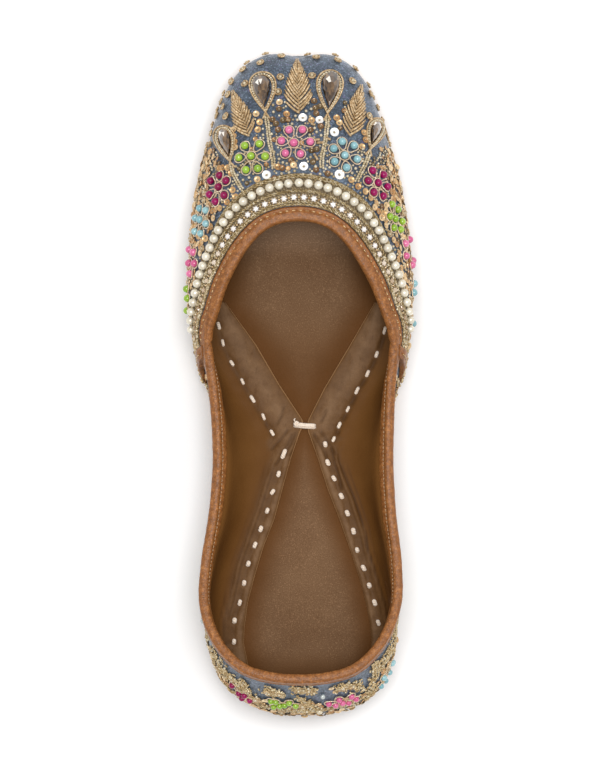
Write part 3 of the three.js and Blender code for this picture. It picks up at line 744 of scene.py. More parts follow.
def braid_and_shade_material():
    g = Mat("woven_braid_and_shade", Metallic=0.3)
    uv = g.node("SeparateXYZ", {"Vector": g.uv()})
    weave = g.math("SINE", g.math("ADD", g.math("MULTIPLY", uv.outputs["X"], 2 * math.pi / 0.9), g.math("MULTIPLY", uv.outputs["Y"], 14.0)))
    n = g.noise(0.8, 3)
    # the band's brown, seen in the gaps between the pearls, is painted shade
    col = g.mix(g.span(n, 0.35, 0.65, 0.0, 1.0), srgb(94, 80, 60), srgb(166, 145, 108))
    # painted shade: the weave's troughs are darkened
    col = g.mix(g.span(weave, -1, 0.2, 0.6, 0.0), col, srgb(58, 46, 34))
    g.set(Base_Color=col, Roughness=g.span(n, 0.3, 0.7, 0.4, 0.6), Normal=g.bump(weave, 0.1, 0.9))
    return g.m


M_BRAID_AND_SHADE = braid_and_shade_material()


def cotton():
    g = Mat("cotton_thread", Sheen_Weight=0.3)
    uv = g.node("SeparateXYZ", {"Vector": g.uv()})
    ply = g.math("SINE", g.math("ADD", g.math("MULTIPLY", uv.outputs["X"], 2 * math.pi / 0.8), g.math("MULTIPLY", uv.outputs["Y"], 2.0)))
    n = g.noise(0.5, 3)
    col = g.mix(g.span(n, 0.35, 0.7, 0.0, 1.0), srgb(226, 204, 182), srgb(250, 238, 222))
    # painted shade: the grooves between the plies are darkened
    col = g.mix(g.span(ply, -1, 0, 0.35, 0.0), col, srgb(188, 160, 132))
    g.set(Base_Color=col, Roughness=g.span(n, 0.3, 0.7, 0.75, 0.9), Normal=g.bump(ply, 0.08, 0.8, g.bump(n, 0.05, 0.6)))
    return g.m


M_COTTON = cotton()


def seam_thread():
    g = Mat("seam_thread", Sheen_Weight=0.2)
    n = g.noise(0.4, 2)
    col = g.mix(g.span(n, 0.35, 0.65, 0.0, 1.0), srgb(158, 118, 80), srgb(208, 174, 134))
    g.set(Base_Color=col, Roughness=g.span(n, 0.3, 0.7, 0.45, 0.6), Normal=g.bump(n, 0.04, 0.7))
    return g.m


M_SEAM = seam_thread()


def glint_thread():
    g = Mat("gold_seam_thread", Metallic=0.4)
    n = g.noise(0.5, 2)
    col = g.mix(g.span(n, 0.4, 0.6, 0.0, 1.0), srgb(150, 104, 52), srgb(250, 226, 176))
    g.set(Base_Color=col, Roughness=g.span(n, 0.3, 0.7, 0.3, 0.5), Normal=g.bump(n, 0.03, 0.7))
    return g.m


M_GLINT = glint_thread()

# ---------------------------------------------------------------- the wall, its lining and its cloth
def build_upper():
    us = np.arange(264) * TURN / 264
    vs = np.linspace(0, 1, 34)
    vs = vs - 0.045 * np.sin(2 * np.pi * vs)
    U, Vv = us[:, None], vs[None, :]
    out = wall(*np.broadcast_arrays(U, Vv), WALL + np.zeros((264, 34)))
    inn = wall(*np.broadcast_arrays(U, Vv), np.zeros((264, 34)))
    V, F, B, R = sheet(out, inn, True)
    make("upper_wall", V, [F, B, R], [M_CLOTH, M_LINING], "lining_leather", groups=[0, 1, 1], angle=60, node="upper")


def build_vamp_cloth():
    ns, nv = 224, 36
    s = np.linspace(-1, 1, ns)
    k = np.linspace(0, 1, nv)
    k = k - 0.04 * np.sin(2 * np.pi * k)
    # v from the sole up to the binding's edge; u to a line in front of the wing's rear edge
    top_u = s * (WING_TOP + 0.3)
    vtop = v_below(top_u, np.full((ns, 1), 4.45))[:, 0]
    Vg = vtop[:, None] * k[None, :]
    edge = wing_edge(Vg)
    front = 4.45 / np.maximum(along_u(np.sign(s)[:, None] * edge, Vg), 3)
    U = s[:, None] * (edge - front)
    for _ in range(2):
        vt = v_below(U[:, -1], np.full((ns, 1), 4.45))[:, 0]
        Vg = vt[:, None] * k[None, :]
        edge = wing_edge(Vg)
        front = 4.45 / np.maximum(along_u(np.sign(s)[:, None] * edge, Vg), 3)
        U = s[:, None] * (edge - front)
    t = np.full(U.shape, CLOTH)
    base = wall(U, Vg, t)
    t = t + 0.05 * ripple(base, 6.0, 3) + 0.03 * ripple(base, 2.2, 4)
    rim = np.minimum(np.minimum(np.arange(ns), np.arange(ns)[::-1])[:, None], (nv - 1 - np.arange(nv))[None, :])
    t = np.where(rim == 0, t - 0.35, t)
    V, F, B, R = sheet(wall(U, Vg, t), wall(U, Vg, np.full(U.shape, WALL + GAP)), False)
    make("vamp_cloth", V, outward(V, [F, B, R]), [M_CLOTH], "slate_cloth", angle=70, node="vamp_overlay")


# ---------------------------------------------------------------- bindings
def folded_profile(m_arc=14):
    """Section of a folded binding: outer leg, roll over the edge, inner leg; (d, t, stitch weight)."""
    outer = [(4.2, 1.74, 0), (4.32, 2.0, 0), (4.2, 2.3, 0), (3.9, 2.47, 0), (3.45, 2.5, 0), (3.1, 2.38, .5), (2.8, 2.2, 1), (2.5, 2.36, .5), (2.1, 2.5, 0), (1.6, 2.56, 0), (1.0, 2.55, 0), (0.45, 2.5, 0)]
    arc = [(-1.07 * math.sin(a), 0.7 + 1.72 * math.cos(a), 0) for a in np.linspace(0.06, math.pi - 0.06, m_arc)]
    inner = [(0.45, -1.12, 0), (0.85, -1.08, 0), (1.1, -0.96, .5), (1.28, -0.9, 1), (1.48, -1.0, .5), (1.8, -1.18, 0), (2.4, -1.34, 0), (3.1, -1.5, 0), (3.7, -1.58, 0), (4.12, -1.4, 0), (4.26, -1.0, 0), (4.16, -0.36, 0)]
    back = [(3.4, -0.3, 0), (1.6, -0.3, 0), (0.1, -0.25, 0), (-0.28, 0.7, 0), (0.1, 1.65, 0), (1.6, 1.7, 0), (3.4, 1.7, 0)]
    return np.array(outer + arc + inner + back)


def binding(u0, u1, step, phase=0.0):
    u = np.arange(u0, u1 + 1e-6, 0.02)
    P = bez(u, 1.0)
    s = np.concatenate([[0], np.cumsum(np.linalg.norm(np.diff(P, axis=0), axis=1))])
    m = int(s[-1] / step)
    q = np.linspace(0, s[-1], m)
    us = np.interp(q, s, u)
    pr = folded_profile()
    d = np.tile(pr[:, 0], (m, 1))
    t = np.tile(pr[:, 1], (m, 1))
    pull = pr[:, 2][None, :] * (0.5 + 0.5 * np.cos(2 * np.pi * (q[:, None] + phase) / 2.2)) * 0.22
    outer = (t > 1.9) & (pr[:, 2][None, :] > 0)
    innr = (t < 0) & (pr[:, 2][None, :] > 0)
    t = np.where(outer, t - pull, t)
    t = np.where(innr, t + pull, t)
    pts, n, r = edge_points(us, d, t)
    wave = ripple(pts, 5.0, 11) * 0.07 + ripple(pts, 1.8, 12) * 0.035
    skin = np.ones(len(pr))
    skin[-7:] = 0
    sign = np.where(np.arange(len(pr)) < 12 + 7, 1.0, -1.0)
    pts = pts + n * (wave * skin[None, :] * sign[None, :])[..., None]
    return us, q, pts


def ring_solid(pts):
    """A closed tube from sections (m, k, 3), capped at both ends."""
    m, k = pts.shape[:2]
    i, j = np.meshgrid(np.arange(m - 1), np.arange(k), indexing="ij")
    l = (j + 1) % k
    quads = np.stack([i * k + j, i * k + l, (i + 1) * k + l, (i + 1) * k + j], -1).reshape(-1, 4)
    V = pts.reshape(-1, 3)
    half = k // 2
    a = np.arange(half - 1)
    caps = np.concatenate([np.stack([a, a + 1, k - 2 - a, k - 1 - a], -1)[:, ::-1], np.stack([a, a + 1, k - 2 - a, k - 1 - a], -1) + (m - 1) * k])
    faces = [quads, caps]
    if k % 2:
        # an odd section leaves one triangle at its middle
        tip = np.array([half - 1, half, half + 1])
        for row, turned in ((0, tip[::-1]), (m - 1, tip)):
            a, b, c = pts[row, tip]
            if min(np.linalg.norm(a - b), np.linalg.norm(b - c), np.linalg.norm(c - a)) > 1e-5:
                faces.append((turned + row * k)[None])
    return V, faces


SEAM, GLINT = Pile(), Pile()


def seam_stitches(pile, us, q, d, t, side, pitch, w, r, first=0.0, last=None, reach=99):
    """Small stitches on a line d below the edge."""
    last = q[-1] if last is None else last
    centres = np.arange(1.1, q[-1], pitch)
    at_u = np.interp(centres, q, us)
    centres = centres[(centres > first) & (centres < last) & (np.minimum(np.abs(at_u), TURN - np.abs(at_u)) < reach)]
    ks = np.array([-1, -0.5, 0, 0.5, 1])
    ue = np.interp((centres[:, None] + ks * w).ravel(), q, us)
    h = t + side * (0.16 - 0.24 * np.tile(ks * ks, len(centres)))
    p, _, _ = edge_points(ue, np.full((len(ue), 1), d), h[:, None])
    for e in p[:, 0].reshape(-1, 5, 3):
        V, F, uv = tube(e, r * (0.9 + 0.2 * rng.random()), 5)
        pile.add(V, F, rng.random(), uv)


def build_vamp_binding():
    end = WING_TOP + 1.0
    us, q, _ = binding(-end, end, 0.52)
    pr = folded_profile()
    m = len(us)
    w = np.abs(us)
    # past the throat the roll opens out, and only the outer leg runs on down the wing
    open_ = smooth((w - 7.05) / 0.75)[:, None]
    d = np.tile(pr[:, 0], (m, 1))
    t = np.tile(pr[:, 1], (m, 1))
    floor_ = -1.2 + 2.92 * open_
    squeeze = np.where(t < floor_, floor_ + 0.0, t)
    d = np.where(t < floor_, np.maximum(d, -0.1 + 0.4 * open_), d)
    t = squeeze
    drop = 3.0 * smooth((w - 7.75) / 1.0)[:, None]
    slim = 1 - 0.35 * smooth((w - 7.2) / 1.4)[:, None]
    d = d * slim + drop * 0.85
    pull = pr[:, 2][None, :] * (0.5 + 0.5 * np.cos(2 * np.pi * q[:, None] / 2.2)) * 0.24
    t = np.where((t > 1.9) & (pr[:, 2][None, :] > 0), t - pull, t)
    pts, n, r = edge_points(us, d, t)
    wave = ripple(pts, 5.0, 11) * 0.08 + ripple(pts, 1.6, 12) * 0.05
    skin = np.ones(len(pr))
    skin[-7:] = 0
    sign = np.where(np.arange(len(pr)) < 19, 1.0, -1.0)
    pts = pts + n * (wave * skin[None, :] * sign[None, :] * (1 - open_ * (sign[None, :] < 0)))[..., None]
    V, faces = ring_solid(pts)
    seam_stitches(GLINT, us, q, 2.75, 2.24, 1.0, 2.2, 0.42, 0.2, 14, q[-1] - 14)
    seam_stitches(GLINT, us, q, 2.75, -0.8, -1.0, 2.2, 0.5, 0.2, 16, q[-1] - 16)
    pile = Pile()
    pile.add(V, outward(V, faces))
    # the strip down each wing's rear edge: a flat leather band with rounded borders and its own seam
    for side in (1, -1):
        nv = 90
        v = np.linspace(0.03, 0.93, nv)
        ed = wing_edge(v)
        k = 1 / np.maximum(along_u(side * ed, v), 1)
        prof = np.array([(0.0, 1.72), (-0.12, 1.95), (-0.05, 2.3), (0.3, 2.5), (0.9, 2.52), (1.3, 2.4), (1.6, 2.24), (1.9, 2.4), (2.4, 2.54), (3.2, 2.54), (3.8, 2.48), (4.2, 2.3), (4.3, 2.0), (4.2, 1.72)])
        W = prof[None, :, 0] * k[:, None]
        U = side * (ed[:, None] - W)
        T = np.tile(prof[:, 1], (nv, 1))
        s = np.concatenate([[0], np.cumsum(np.linalg.norm(np.diff(bez(side * ed, v), axis=0), axis=1))])
        pull = np.exp(-((prof[:, 0] - 1.6) / 0.35) ** 2)[None, :] * (0.5 + 0.5 * np.cos(2 * np.pi * s[:, None] / 2.2)) * 0.2
        # half way up, the strip lifts off the wall in a soft fold
        fold = 1.6 * smooth((v - 0.22) / 0.3) * (1 - 0.7 * smooth((v - 0.8) / 0.13))
        P = wall(U, np.tile(v[:, None], (1, len(prof))), T - pull + fold[:, None] * (prof[:, 1] > 1.8)[None, :])
        Q, F = ring_solid(P)
        pile.add(Q, outward(Q, F))
        for c in np.arange(1.1, s[-1] - 1, 2.2):
            path = []
            for e in (-0.6, -0.3, 0, 0.3, 0.6):
                vv = np.interp(c + e, s, v)
                uu = side * (wing_edge(np.array([vv])) - 1.6 * np.interp(c, s, k))
                path.append(wall(uu, np.array([vv]), np.array([2.36 + 0.2 - 0.5 * e * e + np.interp(vv, v, fold)]))[0])
            A, B, uv = tube(path, 0.2, 5)
            GLINT.add(A, B, rng.random(), uv)
    pile.make("vamp_piping", M_BIND, "binding_leather", angle=70, node="vamp_binding")


def build_quarter_binding():
    start = WING_TOP - 0.45
    us, q, pts = binding(start, TURN - start, 0.8, 0.7)
    # where the vamp's wing lies over it, the outer leg tucks in and fades out
    m = len(us)
    depth = np.minimum(us - start, TURN - start - us)
    tuck = 1 - smooth((depth - 0.5) / 0.6)
    hide = 1 - smooth(depth / 0.7)
    pr = folded_profile()
    d = np.tile(pr[:, 0], (m, 1))
    t = np.tile(pr[:, 1], (m, 1))
    flat = (pr[:, 1] > 1.5) & (pr[:, 0] > 0.3)
    nd = np.where(flat[None, :], 0.35 + (d - 0.35) * (1 - 0.86 * tuck[:, None]), d)
    nt = np.where(flat[None, :], t - (t - 1.5) * 0.55 * tuck[:, None], t)
    plain, n, r = edge_points(us, d, t)
    moved, _, _ = edge_points(us, nd, nt)
    pts = pts + (moved - plain)
    core = pts.mean(1, keepdims=True)
    pts = core + (pts - core) * (1 - 0.3 * hide)[:, None, None]
    V, faces = ring_solid(pts)
    make("quarter_piping", V, outward(V, faces), M_BIND, "binding_leather", angle=70, node="quarter_binding")
    seam_stitches(SEAM, us, q, 2.75, 2.26, 1.0, 1.45, 0.42, 0.16, 30, q[-1] - 30, 14.6)
    seam_stitches(SEAM, us, q, 1.25, -1.06, -1.0, 1.45, 0.4, 0.14, 5, q[-1] - 5, 14.0)


# ---------------------------------------------------------------- sole, heel, insole
def outline(d, n=240):
    u = np.arange(n) * TURN / n
    s = section(u)
    nf = plan_normal(u, 0)
    p = s[:, :2] + nf * d
    p[:, 0] += fair(p[:, 1], 1)
    return p


def spine(p):
    return np.stack([fair(np.clip(p[:, 1], -94, 92), 1), np.clip(p[:, 1], -94, 92)], -1)


def disc(n, base=0):
    """Strips and two end triangles that close a ring of n points."""
    a = np.arange(1, n // 2 - 1)
    strips = np.stack([a, a + 1, n - a - 1, n - a], -1) + base
    tips = np.array([[0, 1, n - 1], [n // 2 - 1, n // 2, n // 2 + 1]]) + base
    return [strips, tips]


def plate(rings, base_z):
    """Closed plate from plan rings: rows (outline offset, inward share, z above base_z)."""
    n = 240
    V = []
    for d, k, h in rings:
        p = outline(d, n)
        c = spine(p)
        q = c + (p - c) * k
        V.append(np.column_stack([q, base_z(q[:, 1]) + h]))
    V = np.array(V)
    m = len(rings)
    i, j = np.meshgrid(np.arange(m - 1), np.arange(n), indexing="ij")
    l = (j + 1) % n
    quads = np.stack([i * n + j, i * n + l, (i + 1) * n + l, (i + 1) * n + j], -1).reshape(-1, 4)
    fill = [f[:, ::-1] for f in disc(n)] + disc(n, (m - 1) * n)
    return V.reshape(-1, 3), quads, fill


def build_sole():
    side = [(2.3, 1.0, 0.5), (2.3, 1.0, 0.9), (2.38, 1.0, 1.5), (2.36, 1.0, 1.85), (2.2, 1.0, 1.98), (2.36, 1.0, 2.12), (2.38, 1.0, 2.6), (2.34, 1.0, 3.3), (2.15, 1.0, 3.75), (1.7, 1.0, 3.97), (1.1, 1.0, 4.0)]
    rings = [(2.3, 0.03, 0.0), (2.3, 0.3, 0.0), (2.3, 0.6, 0.0), (2.3, 0.85, 0.0), (2.3, 0.94, 0.02), (2.0, 0.99, 0.12), (2.2, 1.0, 0.3)] + side + [(0, 0.97, 4.0), (0, 0.7, 4.0), (0, 0.35, 4.0), (0, 0.03, 4.0)]
    V, quads, fill = plate(rings, underside)
    faces = outward(V, [quads] + fill)
    vol = 0
    make("sole_leather", V, faces, M_SOLE, "outsole_leather", angle=50, node="outsole")
    # welt stitches along the sole's upper border
    p = outline(1.55, 480)
    ring = resample(np.column_stack([p, sole_top(p[:, 1]) - 0.02]), 0.6)
    s = np.concatenate([[0], np.cumsum(np.linalg.norm(np.diff(ring, axis=0), axis=1))])
    for c in np.arange(1.0, s[-1] - 1, 2.6):
        path = [[np.interp(c + e, s, ring[:, k]) for k in range(3)] for e in (-0.75, -0.4, 0, 0.4, 0.75)]
        path = np.array(path)
        path[:, 2] += np.array([-0.12, 0.1, 0.16, 0.1, -0.12])
        V, F, uv = tube(path, 0.24, 6)
        SEAM.add(V, F, rng.random(), uv)


def build_heel():
    n = 300
    p = outline(2.0, n)
    p = p[p[:, 1] < -61.2]
    left, right = p[p[:, 0] < 1.5], p[p[:, 0] >= 1.5]
    path = np.concatenate([left[np.argsort(-left[:, 1])], right[np.argsort(right[:, 1])]])
    a, b = path[-1], path[0]
    mid = (a + b) / 2 + np.array([0, -9])
    w = np.linspace(0, 1, 42)[1:-1, None]
    breast = (1 - w) ** 2 * a + 2 * w * (1 - w) * mid + w * w * b
    loop = resample(np.concatenate([path, breast, path[:1]]), 0.8)[:-1]
    c = np.array([1.0, -92.0])
    prof = [(0.0, 0.985), (0.25, 1.0), (1.65, 1.002), (1.8, 0.994), (1.95, 1.002), (3.6, 1.003), (3.75, 0.994), (3.9, 1.003), (5.3, 1.0), (5.65, 0.99)]
    rows = [np.column_stack([c + (loop - c) * k, np.full(len(loop), z)]) for z, k in prof]
    inner = [np.column_stack([c + (loop - c) * k, np.full(len(loop), z)]) for z, k in ((5.68, 0.6), (5.68, 0.02))]
    lower = [np.column_stack([c + (loop - c) * k, np.full(len(loop), 0.0)]) for k in (0.02, 0.6)]
    G = np.array(lower + rows + inner)
    m, k = G.shape[:2]
    i, j = np.meshgrid(np.arange(m - 1), np.arange(k), indexing="ij")
    l = (j + 1) % k
    quads = np.stack([i * k + j, i * k + l, (i + 1) * k + l, (i + 1) * k + j], -1).reshape(-1, 4)
    V = np.concatenate([G.reshape(-1, 3), [[c[0], c[1], 0.0], [c[0], c[1], 5.68]]])
    jj = np.arange(k)
    ll = (jj + 1) % k
    tri = np.concatenate([np.stack([np.full(k, m * k), ll, jj], -1), np.stack([np.full(k, m * k + 1), (m - 1) * k + jj, (m - 1) * k + ll], -1)])
    make("stacked_heel", V, outward(V, [quads, tri]), M_HEEL, "heel_leather", angle=45, node="heel_lift")


def insole_height(x, y):
    u = np.linspace(0, HALF, 361)
    s = section(u)
    half = np.interp(-y, -s[:, 1], s[:, 0])
    k = np.clip(np.abs(x - fair(y, 1)) / np.maximum(12, half), 0, 1)
    return sole_top(y) + GAP + 2.8 + 0.7 * (1 - k)


def build_insole():
    rings = [(-0.5, k, 0) for k in (0.03, 0.25, 0.5, 0.75, 0.95)] + [(-0.5, 1.0, 0.0)]
    top = [(-0.5, 1.0, 0.7), (-0.5, 1.0, 1.5), (-0.62, 1.0, 2.1), (-0.95, 1.0, 2.6), (-1.6, 1.0, 2.85)]
    top += [(-1.6, k, None) for k in (0.97, 0.93, 0.88, 0.82, 0.75, 0.68, 0.6, 0.52, 0.44, 0.36, 0.28, 0.2, 0.12, 0.03)]
    n = 240
    V = []
    for d, k, h in rings + top:
        p = outline(d, n)
        c = spine(p)
        q = c + (p - c) * k
        base = sole_top(q[:, 1]) + GAP
        z = base + h if h is not None else insole_height(q[:, 0], q[:, 1])
        V.append(np.column_stack([q, z]))
    V = np.array(V)
    m = len(V)
    # soft wear: the heel and the ball press shallow hollows, with faint waves between
    T = V[len(rings) + 4:]
    x, y = T[..., 0], T[..., 1]
    T[..., 2] -= 0.45 * np.exp(-(((x - 1) / 17) ** 2 + ((y + 88) / 22) ** 2)) + 0.3 * np.exp(-(((x - 1) / 20) ** 2 + ((y - 44) / 24) ** 2))
    T[..., 2] += 0.05 * ripple(T, 9, 21)
    i, j = np.meshgrid(np.arange(m - 1), np.arange(n), indexing="ij")
    l = (j + 1) % n
    quads = np.stack([i * n + j, i * n + l, (i + 1) * n + l, (i + 1) * n + j], -1).reshape(-1, 4)
    fill = [f[:, ::-1] for f in disc(n)] + disc(n, (m - 1) * n)
    V = V.reshape(-1, 3)
    xl = np.interp(V[:, 1], FLAP_IN[-1][::-1, 1], FLAP_IN[-1][::-1, 0])
    xr = np.interp(V[:, 1], FLAP_IN[1][::-1, 1], FLAP_IN[1][::-1, 0])
    away = np.minimum(V[:, 0] - xl, xr - V[:, 0])
    # tone paints shade and sheen: darker next to the flaps, towards the heel end and across a band near y = 6 mm,
    # lighter along the middle
    tone = np.where(V[:, 1] > -16, smooth((away - 1.0) / 13), smooth((away + 0.5) / 10.5))
    tone = tone * (1 - 0.75 * smooth((-V[:, 1] - 98) / 12)) * (1 - 0.55 * np.exp(-((V[:, 1] - 6) / 16) ** 2))
    # painted light for the toe end under the throat, away from the flaps
    shade = smooth((V[:, 1] - 46) / 14) * smooth((away - 1) / 6)
    ob = make("insole_pad", V, outward(V, [quads] + fill), M_INSOLE, "insole_leather", angle=70, node="insole", tone=tone, extra={"shade": shade})


# ---------------------------------------------------------------- lining flaps and their cotton stitches
FLAP_IN = {
    -1: pix([80, 111.3, 134.5, 157.6, 158.2, 155.2, 146.1, 137.8, 129.5, 117.9, 109.6, 103, 99.6, 98.8, 103],
            [300, 343, 382.8, 418.0, 424, 430, 455.8, 485.6, 516.6, 546.4, 574.6, 599.5, 624.4, 641, 662.5]),
    1: pix([229, 205.8, 179.2, 163.2, 162.0, 163.0, 172.6, 182.6, 194.2, 205.8, 214, 220.7, 224.8, 226.5, 224],
           [301.6, 341.4, 386.1, 417.6, 424, 430, 455.8, 487.3, 516.6, 549.8, 574.6, 599.5, 621, 637.6, 660])}
STITCH = {
    "ul": pix([73.4, 77.6, 86.7, 97.3, 107.4, 118.4, 127.3], [323.4, 340.7, 361.1, 379.5, 397.1, 414.8, 431.2]),
    "ur": pix([239.8, 231.8, 222.7, 212.1, 202.8, 194.2, 188.5], [328.1, 352.3, 371.5, 388.6, 407.3, 423.3, 437.5]),
    "ll": pix([138.6, 133.5, 127.5, 122.2, 115.7, 109.9, 103.3, 99.1, 94.7, 89.5, 89], [452.1, 471.9, 489.8, 508.5, 526.7, 542.8, 561.5, 580.8, 600.5, 618.4, 639.6]),
    "lr": pix([180.2, 182.7, 188.9, 196.3, 202.3, 208.4, 212.1, 218.5, 224.2, 229.6, 233.3], [442.2, 460.7, 476.3, 493.9, 511, 529, 547.8, 565.8, 583.2, 600.5, 620.6])}


def line_distance(P, line):
    """Distance in plan from points to a polyline, and the length along it."""
    best = np.full(P.shape[:-1], 1e9)
    where = np.zeros(P.shape[:-1])
    side = np.zeros(P.shape[:-1])
    run = 0.0
    for a, b in zip(line[:-1], line[1:]):
        ab = b - a
        L = np.linalg.norm(ab)
        t = np.clip(((P[..., :2] - a) @ ab) / L ** 2, 0, 1)
        q = P[..., :2] - (a + t[..., None] * ab)
        r = np.linalg.norm(q, axis=-1)
        near = r < best
        best = np.where(near, r, best)
        where = np.where(near, run + t * L, where)
        side = np.where(near, np.sign(ab[0] * q[..., 1] - ab[1] * q[..., 0]), side)
        run += L
    return best, where, side


# these tables were read off the picture; the flaps lie 13.5 mm above the ground
for _table in (FLAP_IN, STITCH):
    for _k in _table:
        _table[_k] = _table[_k] * ((CAM_Z - 13.5) / CAM_Z)

FLAP_GRIDS = {}


def build_flap(side):
    table = FLAP_IN[side]
    lines = [STITCH["ul"], STITCH["ll"]] if side < 0 else [STITCH["ur"], STITCH["lr"]]
    both = np.concatenate(lines)
    both = both[np.argsort(both[:, 1])]
    seam_x = lambda y: np.interp(y, both[:, 1], both[:, 0])
    wide = np.linspace(7.4, 16.6, 400)
    fy = bez(side * wide, 0.0)[:, 1]
    us = np.interp(-np.linspace(30.5, -107.0, 200), -fy, wide)
    su = side * us
    foot = bez(su, 0.0)
    ys = foot[:, 1]
    order = np.argsort(table[:, 1])
    ex = np.interp(ys, table[order, 1], table[order, 0])
    nf = plan_normal(su, 0)
    turn = foot[:, :2] - nf * 3.6
    # the leather leaves the insole a little outside its seam, and rises to the collar in one slope
    lower = smooth((-18 - ys) / 6)
    band = seam_x(ys) + side * (3.2 + 1.4 * lower)
    leave = np.where(side > 0, np.minimum(band, turn[:, 0]), np.maximum(band, turn[:, 0]))
    leave = np.convolve(np.pad(leave, 6, mode="edge"), np.ones(13) / 13, "valid")
    edge = np.column_stack([ex, ys])
    out_ = np.column_stack([leave, turn[:, 1] * 0.5 + ys * 0.5])
    nflat, nslope = 24, 20
    k = np.concatenate([[0, 0.016, 0.032], np.linspace(0.07, 1, nflat - 3)])
    flat = edge[:, None, :] + (out_ - edge)[:, None, :] * k[None, :, None]
    zf = insole_height(flat[..., 0], flat[..., 1]) + 0.35
    flat = np.concatenate([flat, zf[..., None]], -1)
    vt = v_below(su, np.full((len(su), 1), 3.3))[:, 0]
    v2 = v_below(su, np.full((len(su), 1), 6.0))[:, 0]
    W = offset(np.tile(su[:, None], (1, 4)), v2[:, None] + (vt - v2)[:, None] * np.linspace(0, 1, 4), np.full((len(su), 4), -0.12))
    a_, b_ = flat[:, -1], W[:, 0]
    gap = np.linalg.norm(b_ - a_, axis=1, keepdims=True)
    ta = flat[:, -1] - flat[:, -3]
    ta = ta / np.linalg.norm(ta, axis=1, keepdims=True) * gap * 0.42
    tb = W[:, 1] - W[:, 0]
    tb = tb / np.linalg.norm(tb, axis=1, keepdims=True) * gap * 0.34
    w = np.linspace(0, 1, nslope + 2)[1:-1][None, :, None]
    bend = a_[:, None] * (1 - w) ** 3 + (a_ + ta)[:, None] * 3 * w * (1 - w) ** 2 + (b_ - tb)[:, None] * 3 * w * w * (1 - w) + b_[:, None] * w ** 3
    low = np.concatenate([flat, bend, W], 1)
    du = np.gradient(low, axis=0)
    dk = np.gradient(low, axis=1)
    n = np.cross(dk, du) * side
    n /= np.linalg.norm(n, axis=-1, keepdims=True) + 1e-12
    if n[:, 8, 2].mean() < 0:
        n = -n
    run = np.concatenate([np.zeros((len(su), 1)), np.cumsum(np.linalg.norm(np.diff(low, axis=1), axis=2), axis=1)], 1)
    th = 0.25 + 0.65 * np.sqrt(np.clip(run / 0.8, 0, 1))
    th = th * (0.18 + 0.82 * smooth((run[:, -1:] - run) / 6.5))
    rise = np.zeros_like(run)
    dark = np.zeros_like(run)
    for line in lines:
        dist, where, sgn = line_distance(low, line)
        L = np.concatenate([[0], np.cumsum(np.linalg.norm(np.diff(line, axis=0), axis=1))])
        near = np.min(np.abs(where[..., None] - L[None, None, :]), axis=-1)
        outer = (low[..., 0] - seam_x(low[..., 1])) * side
        deep = {id(STITCH["ul"]): 0.4, id(STITCH["ur"]): 1.0, id(STITCH["ll"]): 0.3, id(STITCH["lr"]): 0.4}[id(line)]
        hollow = deep * (1 - smooth((np.abs(outer - 0.45) - 0.6) / 0.9)) * smooth((near - 1.1) / 1.5) * np.exp(-(np.maximum(dist - 1.2, 0) / 1.6) ** 2)
        rise -= 0.10 * np.exp(-(dist / 0.9) ** 2)
        rise -= 0.55 * hollow
        rise -= 0.30 * np.exp(-(dist / 1.2) ** 2 - (near / 1.3) ** 2)
        rise += 0.22 * np.exp(-((dist - 2.6) / 1.2) ** 2) * (0.55 + 0.45 * np.cos(2 * np.pi * near / 6.8))
        # painted shade in the hollows along the seam and beside each stitch
        dark += 0.85 * hollow + 0.5 * np.exp(-((dist - 1.0) / 0.5) ** 2 - (near / 1.2) ** 2)
    # long soft ridges outside the lower seams
    ridge = [(-1, STITCH["ll"], -3.6, 0.24), (1, STITCH["lr"], 3.3, 0.34), (1, STITCH["lr"], 5.4, 0.26), (-1, STITCH["ll"], -5.0, 0.16)]
    for s0, line, gap_, h in ridge:
        if s0 == side:
            dist, where, sgn = line_distance(low, line + np.array([gap_, 0]))
            on_ = smooth(where / 10)
            rise += h * np.exp(-(dist / 0.7) ** 2) * on_ - 0.6 * h * np.exp(-((dist - 1.3) / 0.7) ** 2) * on_
            # painted shade in the trough beside each ridge, and painted light on its crest
            dark += 0.6 * np.exp(-((dist - 1.1) / 0.5) ** 2) * on_ - 0.5 * np.exp(-(dist / 0.5) ** 2) * on_
    # wrinkles fanning from the tie, listed one by one
    fans = {-1: [((151, 431), (138, 455), 0.30), ((147, 433), (131, 462), 0.26), ((143, 428), (127, 447), 0.22), ((152, 440), (146, 452), 0.2), ((139, 405), (133, 422), 0.16)],
            1: [((169, 432), (184, 462), 0.30), ((176, 430), (190, 452), 0.28), ((166, 440), (174, 470), 0.22), ((181, 408), (176, 420), 0.16), ((186, 447), (196, 486), 0.24)]}
    for p0, p1, h in fans[side]:
        dist, where, sgn = line_distance(low, pix([p0[0], (p0[0] + p1[0]) / 2 + 1.0, p1[0]], [p0[1], (p0[1] + p1[1]) / 2, p1[1]]))
        g_ = np.exp(-(dist / 0.55) ** 2)
        rise -= h * g_ - 0.7 * h * np.exp(-((dist - 1.0) / 0.5) ** 2)
